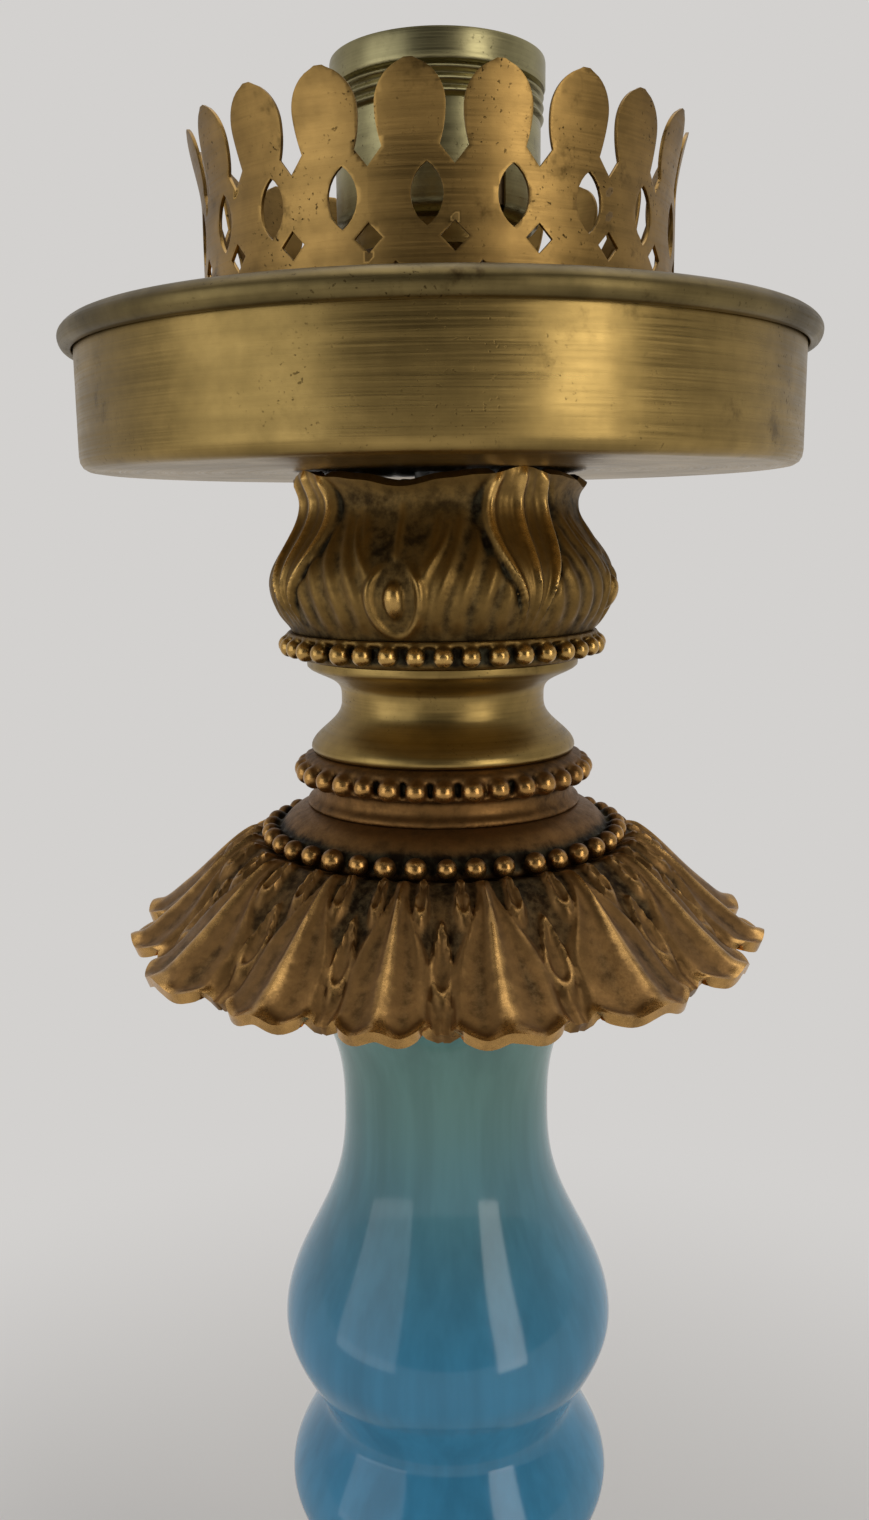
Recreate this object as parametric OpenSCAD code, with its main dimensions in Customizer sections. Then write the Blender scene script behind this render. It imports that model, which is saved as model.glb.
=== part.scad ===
// Glass table lamp: a blown glass baluster between cast leaf skirts, with a mock
// oil font, a pierced crown for a glass shade and a lamp socket, all clamped on one pipe.
// Millimetres, Z up. The origin is the centre of the base's underside, and -Y is the front.

/* [Base] */
// Radius of the cast base
base_r = 76; // [70:1:90]
// Height of the cast base
base_h = 24; // [21:0.5:32]
// Height of the base's upright foot wall
plinth_h = 12; // [11:0.5:14]
// Wall of the cast base
base_wall = 3; // [2:0.5:4]
// Radius of the top of the base
base_top_r = 46; // [42:1:54]
// Thickness of the felt pad
felt_t = 1.5; // [1:0.5:3]
// Radius of the iron weight
weight_r = 42; // [30:1:44]
// Thickness of the iron weight
weight_t = 8; // [5:0.5:9]

/* [Pipe and nuts] */
// Outer radius of the lamp pipe
pipe_r = 4.9; // [4.5:0.1:5.5]
// Bore radius of the lamp pipe
pipe_bore_r = 3.5; // [3:0.1:3.8]
// Radial clearance of the holes that the pipe passes
pipe_gap = 0.15; // [0.1:0.05:0.3]
// Width of the nuts across their flats
nut_af = 16; // [14:0.5:18]
// Height of the nuts
nut_h = 4.5; // [3:0.5:4.5]
// Radius of the washers
washer_r = 11; // [9.5:0.5:14]
// Thickness of the washers
washer_t = 1.2; // [0.8:0.1:1.6]
// Length of pipe that stands out past the bottom nut
pipe_tail = 1.8; // [1:0.1:3]

/* [Cord inlet] */
// Outer radius of the bushing's barrel
bushing_r = 4.7; // [4:0.1:5]
// Bore radius of the bushing
bushing_bore_r = 3.3; // [2.5:0.1:3.5]
// Radius of the bushing's flange
bushing_flange_r = 5.7; // [5.5:0.1:5.9]

/* [Glass] */
// Radius of the glass at its flared ends
lip_r = 32.7; // [31:0.1:35]
// Radius of the glass at the necks
neck_r = 20.75; // [18:0.25:24]
// Radius of the glass at the large bulbs
bulb_r = 33.9; // [30:0.5:38]
// Radius of the glass in the creases between bulbs
pinch_r = 26.3; // [23:0.5:28]
// Radius of the glass at the middle bulb
knop_r = 33.5; // [30:0.5:38]
// Height of the flare from lip to neck
flare_h = 30.3; // [26:0.5:34]
// Height from the neck to the widest part of the large bulb
shoulder_h = 46.7; // [40:0.5:56]
// Height from the widest part of the large bulb to the crease
bulb_h = 19.2; // [16:0.5:24]
// Height from the crease to the widest part of the middle bulb
knop_h = 17.1; // [14:0.5:22]
// Wall of the glass
glass_wall = 3.5; // [2.5:0.5:4]
// Thickness of the soft rings at the glass's ends
gasket_t = 1.2; // [0.8:0.1:2]
// Thickness of the discs that hold the glass's ends
vase_cap_t = 1.5; // [1:0.1:2]

/* [Beaded dome] */
// Height of the dome with its hub
dome_h = 29.4; // [27:0.1:33]
// Radius of the dome's flat top
dome_top_r = 26.5; // [25:0.5:27.5]
// Radius of the dome's flange
dome_flange_r = 33; // [32:0.5:34]
// Height of the dome above its flange
dome_rise = 7.8; // [7:0.1:9]
// Radius of the dome's bead ring
dome_bead_ring_r = 33.8; // [33.4:0.1:34.4]
// Radius of the dome's beads
dome_bead_r = 2.0; // [1.6:0.1:2.2]
// Number of beads on the dome
dome_beads = 40; // [32:1:44]
// Radius of the dome's hub
hub_r = 9; // [8:0.5:12]

/* [Leaf skirt] */
// Radius at the tips of the leaves
skirt_tip_r = 62; // [58:0.5:66]
// Radius at the notches between the leaves
skirt_notch_r = 56; // [50:0.5:57]
// Drop from the dome's top to the tips of the leaves
skirt_drop = 25.7; // [24:0.1:28]
// Number of leaves
leaves = 16; // [12:1:18]
// Angle of the first leaf's tip, turned from the front toward +X
leaf_turn = 12; // [0:0.5:22]
// Height of the relief on the leaves
leaf_relief = 1.5; // [0.5:0.1:2]
// Thickness of the casting
skirt_t = 2.4; // [2:0.1:3]

/* [Beaded collar] */
// Height of the collar
collar_h = 10.3; // [9.5:0.1:12]
// Radius of the collar's core
collar_r = 26.4; // [26:0.1:27]
// Radius of the collar's waist and of its top
collar_neck_r = 25.2; // [24:0.1:25.6]
// Radius of the collar's bead ring
collar_bead_ring_r = 26.9; // [26.5:0.1:27.4]
// Radius of the collar's beads
collar_bead_r = 2.2; // [1.8:0.1:2.3]
// Number of beads on the collar
collar_beads = 34; // [28:1:36]

/* [Neck spool] */
// Height of the spool
spool_h = 17.9; // [15:0.5:24]
// Radius of the spool's foot
spool_foot_r = 25.5; // [24.5:0.1:27]
// Radius of the spool's waist
spool_waist_r = 19.5; // [17:0.5:22]
// Radius of the spool's top flange
spool_top_r = 26; // [25:0.5:27]
// Wall of the spool
spool_wall = 1.6; // [1.2:0.1:2]

/* [Leaf cup] */
// Height of the ring of beads under the cup
bead_ring_h = 5.2; // [4.6:0.1:6]
// Radius of that ring of beads
cup_bead_ring_r = 29.5; // [29:0.1:30]
// Radius of those beads
cup_bead_r = 1.9; // [1.5:0.1:2.1]
// Number of those beads
cup_beads = 38; // [30:1:44]
// Height of the cup to the tips of its leaves
cup_h = 29.2; // [27:0.2:34]
// Radius of the cup at its foot
cup_foot_r = 28.8; // [28.4:0.1:30]
// Radius of the cup at its belly
cup_belly_r = 32.4; // [31:0.1:35]
// Radius of the cup at its waist
cup_waist_r = 26.2; // [25:0.1:28]
// Radius of the cup at its lip
cup_lip_r = 28; // [26.5:0.1:30]
// Dip of the lip between the leaf tips
cup_dip = 3; // [1:0.1:4]
// Wall of the cup
cup_wall = 2.6; // [2.2:0.1:3]

/* [Drum] */
// Radius of the drum's wall
drum_r = 65.5; // [62:0.5:72]
// Height of the drum under its lid
drum_h = 24.3; // [22:0.1:30]
// Radius of the drum's bottom corner
drum_corner_r = 2.5; // [1.5:0.1:4]
// Thickness of the spun sheet
sheet_t = 0.8; // [0.6:0.1:0.8]
// Radius of the lid's rolled rim in section
rim_roll_r = 2.4; // [2:0.1:3]
// Radial gap between the rim and the wall
rim_gap = 0.2; // [0.1:0.05:0.3]

/* [Crown] */
// Radius of the crown's wall
crown_r = 42.3; // [41:0.1:46]
// Height of the crown to its tips
crown_h = 32.6; // [30:0.2:38]
// Thickness of the crown's sheet
crown_t = 0.6; // [0.5:0.1:0.8]
// Number of prongs
prongs = 20; // [16:1:22]
// Angle of the first prong, turned from the front toward +X
prong_turn = -6; // [-9:0.5:9]
// Width of a prong where it is widest
prong_w = 10.6; // [8:0.1:10.8]
// Width of a prong at its root
prong_root_w = 8.8; // [7:0.1:9]
// Height of the lowest point of the notches
notch_z = 18.4; // [17.6:0.1:20]
// Height of the notch from its lowest point to its shoulders
notch_point_h = 2.7; // [2:0.1:3.5]
// Height of the widest part of the prongs
prong_wide_z = 26.4; // [25:0.1:28]
// How far the tips lean outward
tip_lean = 1.9; // [0.5:0.1:3]
// Width of the pointed windows
window_w = 5.0; // [4:0.1:5.4]
// Height of the pointed windows
window_h = 9.2; // [8:0.1:9.6]
// Height of the windows' centre
window_z = 14.2; // [13.6:0.1:14.8]
// Turn of the windows against the prongs, as the sheet was rolled
window_turn = 3.3; // [2:0.1:4]
// Diagonal of the diamond holes
diamond_w = 4.5; // [3:0.1:4.8]
// Height of the diamond holes' centre
diamond_z = 8.2; // [7.8:0.1:8.6]
// Diagonal of the small bottom holes
pip_w = 3.4; // [2.5:0.1:3.6]
// Height of the bottom holes' centre
pip_z = 3.1; // [2.8:0.1:3.4]
// Inner radius of the crown's turned-in flange
crown_flange_r = 34; // [30:0.5:36]
// Radius of the rivets' circle
rivet_circle_r = 38; // [37:0.1:39]
// Radius of the rivets' shanks
rivet_r = 1.4; // [1:0.1:1.8]

/* [Socket] */
// Radius of the socket shell's body
shell_r = 18.4; // [18.2:0.1:19]
// Radius of the shell's plain top band
band_r = 19.2; // [19:0.1:20]
// Height of the plain top band
band_h = 5; // [4:0.1:7]
// Height of the shell
shell_h = 28.6; // [27:0.1:32]
// Thickness of the shell's sheet
shell_t = 0.5; // [0.4:0.1:0.6]
// Number of rolled ribs
ribs = 3; // [2:1:3]
// Spacing of the rolled ribs
rib_pitch = 1.85; // [1.6:0.05:2]
// Width of the shell's slits
slit_w = 1.4; // [1:0.1:2]
// Height of the shell's slits
slit_h = 14; // [10:0.5:15]
// Angle of the front slit, turned from the front toward +X
slit_turn = 36; // [30:1:60]
// Height of the cap's hub
cap_hub_h = 6.7; // [6:0.1:9]
// Radius of the cap's hub
cap_hub_r = 7; // [6.5:0.1:8]
// Radius of the cap's flange
cap_flange_r = 17.2; // [16.6:0.1:18]
// Radius of the cap's wall
cap_wall_r = 15.6; // [15.2:0.1:15.6]
// Height of the cap's wall above its flange
cap_wall_h = 7.8; // [7:0.1:9]
// Thickness of the insulating liner
liner_t = 0.5; // [0.4:0.1:0.6]
// Height of the insulator
insulator_h = 8.5; // [7:0.5:9]
// Bore radius of the screw shell, for a 26 mm lamp cap
screw_bore_r = 13.25; // [13.2:0.05:13.5]
// Height of the screw shell
screw_h = 13.5; // [12:0.1:13.5]

/* [Centre contact] */
// Radius of the contact plunger
plunger_r = 3; // [2.4:0.1:3.2]
// Running clearance of the plunger in its bore
plunger_gap = 0.05; // [0.03:0.01:0.08]
// Length of the plunger
plunger_h = 6; // [5:0.1:6.4]
// Length of the spring under the plunger
spring_h = 3; // [2.8:0.1:3.6]
// Radius of the spring's wire
spring_wire_r = 0.25; // [0.2:0.01:0.28]
// Number of the spring's turns
spring_turns = 4; // [3:1:4]

/* [Hidden] */
$fn = 96;
eps = 0.01;
dome_spigot_r = dome_flange_r - 3;
dome_spigot_h = 2.6;
dome_spigot_gap = 0.2;
skirt_root_r = dome_bead_ring_r + dome_bead_r + 1.2;
skirt_seat_r = skirt_root_r - 0.8;

// Heights of the stack, from the table up
base_z = felt_t;
lower_dome_z = base_z + base_h;
lower_collar_z = lower_dome_z + dome_h;
lower_cap_z = lower_collar_z + collar_h;
glass_z = lower_cap_z + vase_cap_t + gasket_t;
half_glass_h = flare_h + shoulder_h + bulb_h + knop_h;
glass_h = 2 * half_glass_h;
upper_cap_z = glass_z + glass_h + gasket_t;
dome_z = upper_cap_z + vase_cap_t;
collar_z = dome_z + dome_h;
spool_z = collar_z + collar_h;
bead_ring_z = spool_z + spool_h;
cup_z = bead_ring_z + bead_ring_h;
drum_z = cup_z + cup_h;
lid_z = drum_z + drum_h;
crown_z = lid_z + sheet_t;
top_nut_z = crown_z + washer_t;
socket_z = top_nut_z + nut_h;

// Under the base
weight_z = base_z + base_h - base_wall - weight_t;
bottom_washer_z = weight_z - washer_t;
bottom_nut_z = bottom_washer_z - nut_h;
pipe_z = bottom_nut_z - pipe_tail;
inlet_z = base_z + plinth_h / 2;
hole_r = pipe_r + pipe_gap;

// Inside the socket
shell_z = socket_z + cap_hub_h + 4.5;
insulator_z = socket_z + cap_hub_h + cap_wall_h + sheet_t;
screw_z = insulator_z + insulator_h;
well_floor_z = screw_z - plunger_h - spring_h + 2;
plunger_z = well_floor_z + spring_h;
pipe_top_z = socket_z + cap_hub_h + 2;
liner_r = shell_r - shell_t - 0.6;
shell_curl_r = cap_wall_r + 0.3;

// The crown leans out from just above the notches' lowest points, and its sheet's
// seam is turned off the prong's middle, clear of every hole
lean_z = notch_z + 1.3;
seam_turn = 0.55;
tip_half = 0.25;

brass = "darkkhaki";
bronze = "peru";
dark_bronze = "sienna";

// Smooth step from 0 to 1, with its start held back as p grows
function ease(t, p = 1) = (1 - cos(180 * pow(t, p))) / 2;
function mix(a, b, t) = a + (b - a) * t;
function bezier(a, b, c, d, t) =
    a * pow(1 - t, 3) + 3 * b * t * pow(1 - t, 2) + 3 * c * t * t * (1 - t) + d * pow(t, 3);
// Signed turn of an angle inside its own pitch, from -0.5 to 0.5
function within(angle, pitch) = let (q = angle / pitch) q - round(q);
function bump(x) = abs(x) >= 1 ? 0 : pow(cos(90 * x), 2);

// Places its children at an angle turned from the front (-Y) toward +X
module turned(angle) rotate([0, 0, angle - 90]) children();

// A closed ring solid: section(i) is a list of [r, z] around the wall, at column i
module ring_solid(sections) {
    columns = len(sections);
    rows = len(sections[0]);
    points = [
        for (i = [0:columns - 1]) let (a = 360 * i / columns)
            for (p = sections[i]) [p[0] * sin(a), -p[0] * cos(a), p[1]]
    ];
    faces = [
        for (i = [0:columns - 1], j = [0:rows - 1])
            let (k = (i + 1) % columns, m = (j + 1) % rows)
                each [
                    [i * rows + j, i * rows + m, k * rows + j],
                    [k * rows + j, i * rows + m, k * rows + m]
                ]
    ];
    polyhedron(points, faces, convexity = 8);
}

module bead_row(count, ring_r, bead_r) {
    for (i = [0:count - 1])
        turned(360 * i / count) translate([ring_r, 0, 0]) sphere(r = bead_r, $fn = 20);
}

module disc(r, h, bore) {
    difference() {
        cylinder(r = r, h = h);
        translate([0, 0, -1]) cylinder(r = bore, h = h + 2);
    }
}

module hex_nut() {
    difference() {
        cylinder(r = nut_af / sqrt(3), h = nut_h, $fn = 6);
        translate([0, 0, -1]) cylinder(r = hole_r, h = nut_h + 2);
    }
}

module base_felt()
    color("darkolivegreen") cylinder(r = base_r - base_wall / 2, h = felt_t);

// Cove of the base, from the foot wall's top to the top plate
function base_cove(t) = bezier(
    [base_r - 5, plinth_h + 1], [base_top_r + 10, plinth_h + 1.5],
    [base_top_r + 5, base_h - 3], [base_top_r, base_h], t);

module base_casting() {
    outer = [
        [base_r, 0], [base_r, plinth_h - 1.5], [base_r - 0.5, plinth_h - 0.4], [base_r - 1.6, plinth_h],
        [base_r - 4.4, plinth_h], for (i = [0:8]) base_cove(i / 8)
    ];
    inner = [for (i = [8:-1:0]) base_cove(i / 8) - [1.5, base_wall]];
    color(dark_bronze) translate([0, 0, base_z]) difference() {
        rotate_extrude() polygon([
            each outer, [hole_r, base_h], [hole_r, base_h - base_wall], each inner,
            [base_r - base_wall, plinth_h - base_wall], [base_r - base_wall, 0]
        ]);
        translate([0, base_r + 1, plinth_h / 2]) rotate([90, 0, 0])
            cylinder(r = bushing_r + 0.1, h = base_wall + 3);
    }
}

module cord_bushing() {
    color("black") translate([0, base_r - base_wall - 2, inlet_z]) rotate([-90, 0, 0]) difference() {
        union() {
            cylinder(r = bushing_r, h = base_wall + 2);
            translate([0, 0, base_wall + 2]) cylinder(r1 = bushing_flange_r, r2 = bushing_flange_r - 0.6, h = 1.6);
        }
        translate([0, 0, -1]) cylinder(r = bushing_bore_r, h = base_wall + 6);
    }
}

module base_weight()
    color("dimgray") translate([0, 0, weight_z]) disc(weight_r, weight_t, hole_r);

module bottom_washer()
    color("silver") translate([0, 0, bottom_washer_z]) disc(washer_r, washer_t, hole_r);

module bottom_nut()
    color("silver") translate([0, 0, bottom_nut_z]) hex_nut();

module threaded_pipe() {
    color("silver") translate([0, 0, pipe_z])
        disc(pipe_r, pipe_top_z - pipe_z, pipe_bore_r);
}

// Domed cap with its bead ring, a spigot for the leaf skirt and a long hub on the pipe
module beaded_dome() {
    flange_z = dome_h - dome_rise;
    crest = [for (i = [0:6]) let (t = i / 6)
        bezier([dome_top_r, dome_h], [dome_top_r + 3, dome_h - 0.6],
            [dome_flange_r - 0.4, dome_h - 3.5], [dome_flange_r, flange_z + 1.6], t)];
    difference() {
        union() {
            rotate_extrude() polygon([
                [hole_r, dome_h], each crest, [dome_flange_r, flange_z], [dome_spigot_r, flange_z],
                [dome_spigot_r, flange_z - dome_spigot_h],
                [dome_spigot_r - 2.6, flange_z - dome_spigot_h],
                [dome_spigot_r - 2.6, dome_h - 5], [24, dome_h - 3],
                [hub_r, dome_h - 3], [hub_r, 0], [hole_r, 0]
            ]);
            translate([0, 0, flange_z + 0.5 + dome_bead_r])
                bead_row(dome_beads, dome_bead_ring_r, dome_bead_r);
        }
        translate([0, 0, -1]) cylinder(r = hole_r, h = dome_h + 2);
    }
}

// Height of a leaf along its length, t running from the root (0) to the tip (1)
function leaf_line(t) = bezier(
    [skirt_root_r, dome_h - dome_rise + 1.5],
    [mix(skirt_root_r, skirt_tip_r, 0.32), dome_h - dome_rise - 2.5],
    [mix(skirt_root_r, skirt_tip_r, 0.52), dome_h - skirt_drop + 6], [skirt_tip_r, dome_h - skirt_drop], t);
// Share of the full reach that the edge has at s, a leaf's own width from -0.5 to 0.5
function leaf_reach(s) = pow(1 - pow(2 * abs(s), 2.2), 0.7);
// Relief of a leaf: a rib along its middle, hollows beside it and a leaflet between neighbours
function leaf_swell(s, t) =
    leaf_relief * (pow(sin(180 * pow(t, 0.8)), 0.7) * (0.75 * bump(s / 0.13) + 0.9 * bump(s / 0.42) - 0.9)
    + 1.3 * bump((abs(s) - 0.5) / 0.14) * bump((t - 0.33) / 0.33));

function skirt_section(angle) =
    let (
        s = within(angle - leaf_turn, 360 / leaves),
        edge = mix(skirt_notch_r, skirt_tip_r, leaf_reach(s)),
        seat_z = dome_h - dome_rise,
        squeeze = (edge - skirt_root_r) / (skirt_tip_r - skirt_root_r),
        steps = 10,
        top = [for (j = [0:steps]) let (t = j / steps, p = leaf_line(t))
            [skirt_root_r + (p[0] - skirt_root_r) * squeeze, p[1] + leaf_swell(s, t)]],
        under = [for (j = [3:-1:0]) let (t = 0.3 + 0.66 * j / 3, p = leaf_line(t))
            [skirt_root_r - 1 + (p[0] - skirt_root_r) * squeeze, p[1] + leaf_swell(s, t) * 0.5 - skirt_t]],
        bore_r = dome_spigot_r + dome_spigot_gap
    )
    [[bore_r, seat_z], [skirt_seat_r, seat_z], each top, each under, [bore_r, seat_z - dome_spigot_h]];

module leaf_ring() {
    columns = leaves * 9;
    ring_solid([for (i = [0:columns - 1]) skirt_section(360 * i / columns)]);
}

// Collar with a ring of beads, hollow underneath
module collar() {
    bead_z = collar_h - 3.5;
    difference() {
        union() {
            rotate_extrude() polygon([
                [hole_r, 0], [collar_r, 0], [collar_r, 0.9], [collar_neck_r, 2], [collar_neck_r, bead_z - 2.2],
                [collar_r, bead_z - 1.6], [collar_r, bead_z + 1.6], [collar_neck_r, bead_z + 2.4],
                [collar_neck_r - 0.4, collar_h], [hole_r, collar_h]
            ]);
            translate([0, 0, bead_z]) bead_row(collar_beads, collar_bead_ring_r, collar_bead_r);
        }
        translate([0, 0, -1]) cylinder(r = collar_neck_r - 5, h = collar_h - 2);
    }
}

module lower_dome()
    color(bronze) translate([0, 0, lower_dome_z]) beaded_dome();

module lower_leaf_skirt()
    color(dark_bronze) translate([0, 0, lower_dome_z]) leaf_ring();

module lower_beaded_collar()
    color(dark_bronze) translate([0, 0, lower_collar_z]) collar();

// Radius of the glass at height x above the lip, up to the middle of the middle bulb
function glass_r(x) =
    let (neck = flare_h, wide = neck + shoulder_h, crease = wide + bulb_h)
    x <= neck ? neck_r + (lip_r - neck_r) * pow((neck - x) / flare_h, 2.5) :
    x <= wide ? mix(neck_r, bulb_r, ease((x - neck) / shoulder_h, 1.32)) :
    x <= crease ? mix(pinch_r, bulb_r, sin(90 * pow((crease - x) / bulb_h, 1.3))) :
    mix(pinch_r, knop_r, sin(90 * pow((x - crease) / knop_h, 1.3)));

module glass_column() {
    cuts = [
        for (i = [0:8]) flare_h * i / 8,
        for (i = [1:12]) flare_h + shoulder_h * i / 12,
        for (i = [1:9]) flare_h + shoulder_h + bulb_h * (1 - pow(1 - i / 9, 1.2)),
        for (i = [1:8]) flare_h + shoulder_h + bulb_h + knop_h * i / 8
    ];
    last = len(cuts) - 1;
    heights = [each cuts, for (i = [last - 1:-1:0]) glass_h - cuts[i]];
    function wall_at(z) = glass_r(min(z, glass_h - z));
    color("steelblue") translate([0, 0, glass_z]) rotate_extrude() polygon([
        for (z = heights) [wall_at(z), z],
        for (i = [len(heights) - 1:-1:0]) [wall_at(heights[i]) - glass_wall, heights[i]]
    ]);
}

module gasket()
    color("dimgray") disc(lip_r, gasket_t, lip_r - glass_wall - 0.4);

// Disc on a glass end, with a spigot that stands inside the glass
module vase_disc() {
    spigot_r = glass_r(gasket_t + 4) - glass_wall - 0.8;
    disc(lip_r + 0.5, vase_cap_t, hole_r);
    translate([0, 0, -gasket_t - 2.5]) disc(spigot_r, gasket_t + 2.5 + eps, spigot_r - 2);
}

module lower_vase_cap() {
    rim_r = lip_r + 2.2;
    color(brass) translate([0, 0, lower_cap_z]) {
        translate([0, 0, vase_cap_t]) mirror([0, 0, 1]) vase_disc();
        rotate_extrude() polygon([
            [lip_r, 0], [rim_r - 1, 0], [rim_r, 1.2], [rim_r, 6], [rim_r + 1, 7], [rim_r + 0.4, 7.6],
            [rim_r - 1.2, 6.6], [rim_r - 1.2, vase_cap_t], [lip_r, vase_cap_t]
        ]);
    }
}

module lower_gasket()
    translate([0, 0, glass_z - gasket_t]) gasket();

module upper_gasket()
    translate([0, 0, glass_z + glass_h]) gasket();

module upper_vase_cap()
    color(brass) translate([0, 0, upper_cap_z]) vase_disc();

module skirt_dome()
    color(bronze) translate([0, 0, dome_z]) beaded_dome();

module leaf_skirt()
    color(dark_bronze) translate([0, 0, dome_z]) leaf_ring();

module beaded_collar()
    color(dark_bronze) translate([0, 0, collar_z]) collar();

// Radius of the spool's outside at height x
function spool_r(x) =
    let (waist = spool_h * 0.55, foot = 0.9, shelf = spool_h - 1.3)
    x < foot ? spool_foot_r - 0.4 * (1 - x / foot) :
    x < waist ? mix(spool_waist_r, spool_foot_r, ease((waist - x) / (waist - foot), 1.25)) :
    mix(spool_waist_r, spool_top_r, ease(min(1, (x - waist) / (shelf - waist)), 2));

module neck_spool() {
    heights = [0, 0.9, for (i = [1:14]) 0.9 + (spool_h - 2.2) * i / 14, spool_h];
    rows = len(heights);
    inside = [for (i = [rows - 3:-1:2]) [spool_r(heights[i]) - spool_wall, heights[i]]];
    color(brass) translate([0, 0, spool_z]) rotate_extrude() polygon([
        [hole_r, 0], for (z = heights) [spool_r(z), z], [hole_r, spool_h],
        [hole_r, spool_h - spool_wall], [inside[0][0], spool_h - spool_wall],
        each inside, [hole_r, spool_wall]
    ]);
}

module cup_bead_ring() {
    plate_r = cup_bead_ring_r - 1.4;
    color(dark_bronze) translate([0, 0, bead_ring_z]) difference() {
        union() {
            cylinder(r = plate_r, h = bead_ring_h);
            translate([0, 0, bead_ring_h / 2]) bead_row(cup_beads, cup_bead_ring_r, cup_bead_r);
        }
        translate([0, 0, 2]) cylinder(r = plate_r - 5, h = bead_ring_h);
        translate([0, 0, -1]) cylinder(r = hole_r, h = bead_ring_h + 2);
    }
}

// Radius of the cup before its relief, t running from the foot (0) to the lip (1)
function cup_r(t) =
    t < 0.28 ? mix(cup_foot_r, cup_belly_r, sin(90 * t / 0.28)) :
    t < 0.8 ? mix(cup_belly_r, cup_waist_r, ease((t - 0.28) / 0.52)) :
    mix(cup_waist_r, cup_lip_r, ease((t - 0.8) / 0.2));
// Leaves rise at 30 degrees and each quarter turn on, scrolls sit between them
function cup_swell(angle, t) =
    let (q = within(angle - 30, 90), leaf = bump(q / 0.3), scroll = bump((abs(q) - 0.5) / 0.16))
    (0.55 * cos(16 * (angle - 30)) + 0.9 * leaf) * sin(180 * min(1, t * 0.95 + 0.02))
    + 0.9 * scroll * bump((t - 0.26) / 0.2);
function cup_lip_z(angle) = cup_h - cup_dip * ease(abs(2 * within(angle - 30, 90)), 0.6);

function cup_section(angle) =
    let (
        rows = 11,
        lip = cup_lip_z(angle),
        wall = [for (j = [0:rows]) let (t = j / rows) [cup_r(t) + cup_swell(angle, t), lip * t]],
        inside = [for (j = [4:-1:0]) let (t = j / 4) [cup_r(t) - cup_wall, max(0, lip * t - (t == 1 ? 0.4 : 0))]]
    )
    [each wall, each inside];

module leaf_cup() {
    columns = 96;
    color(bronze) translate([0, 0, cup_z])
        ring_solid([for (i = [0:columns - 1]) cup_section(360 * i / columns)]);
}

// Outline of the pan's corner, as points on an arc
function corner(r, inset) = [for (i = [0:6]) let (a = 90 * i / 6)
    [drum_r - drum_corner_r + (drum_corner_r - inset) * sin(a), drum_corner_r - (drum_corner_r - inset) * cos(a)]];

module drum_pan() {
    color(brass) translate([0, 0, drum_z]) rotate_extrude() polygon([
        [hole_r, 0], each corner(drum_r, 0), [drum_r, drum_h], [drum_r - sheet_t, drum_h],
        for (i = [6:-1:0]) corner(drum_r, sheet_t)[i], [hole_r, sheet_t]
    ]);
}

module drum_lid() {
    roll_x = drum_r + 0.3;
    roll_z = sheet_t - rim_roll_r;
    color(brass) translate([0, 0, lid_z]) difference() {
        rotate_extrude() {
            translate([hole_r, 0]) square([roll_x - hole_r, sheet_t]);
            difference() {
                translate([roll_x, roll_z]) circle(r = rim_roll_r);
                translate([roll_x, roll_z]) circle(r = rim_roll_r - sheet_t);
                translate([0, roll_z - rim_roll_r - 1]) square([drum_r + rim_gap, 2 * rim_roll_r + 1]);
            }
        }
        rivet_places() translate([0, 0, -1]) cylinder(r = rivet_r + 0.05, h = sheet_t + 2);
    }
}

module rivet_places()
    for (i = [0:2]) turned(30 + 120 * i) translate([rivet_circle_r, 0, 0]) children();

// Half width of a prong at height z: swelling from its root, then closing to a point
function prong_half(z) =
    let (
        wide = prong_w / 2, root_z = notch_z + notch_point_h, tip = crown_h - prong_wide_z,
        r = (tip * tip + wide * wide) / (2 * wide)
    )
    z < prong_wide_z
        ? wide - (prong_w - prong_root_w) / 2 * pow((prong_wide_z - z) / (prong_wide_z - root_z), 2)
        : max(tip_half, sqrt(max(0, r * r - pow(z - prong_wide_z, 2))) - r + wide);
function crown_wall_r(z) = crown_r + tip_lean * pow(max(0, z - lean_z) / (crown_h - lean_z), 2);
// Half width of the notch beside it, measured square to the notch's middle
function notch_half(z) =
    crown_wall_r(z) * sin(180 / prongs - prong_half(z) / crown_wall_r(z) * 180 / PI);

module notch_outline() {
    root_z = notch_z + notch_point_h;
    side = [for (i = [0:11]) let (z = root_z + (crown_h + 1 - root_z) * i / 11) [notch_half(z), z]];
    polygon([[0, notch_z], each side, for (i = [11:-1:0]) [-side[i][0], side[i][1]]]);
}

module window_outline() {
    r = (window_h * window_h + window_w * window_w) / (4 * window_w);
    intersection() {
        translate([r - window_w / 2, 0]) circle(r = r);
        translate([window_w / 2 - r, 0]) circle(r = r);
    }
}

// Pushes an outline, drawn square to the wall, out through the crown at an angle
module through_wall(angle)
    turned(angle) translate([crown_flange_r + 3, 0, 0]) rotate([90, 0, 90])
        linear_extrude(height = crown_r - crown_flange_r + 6) children();

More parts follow.
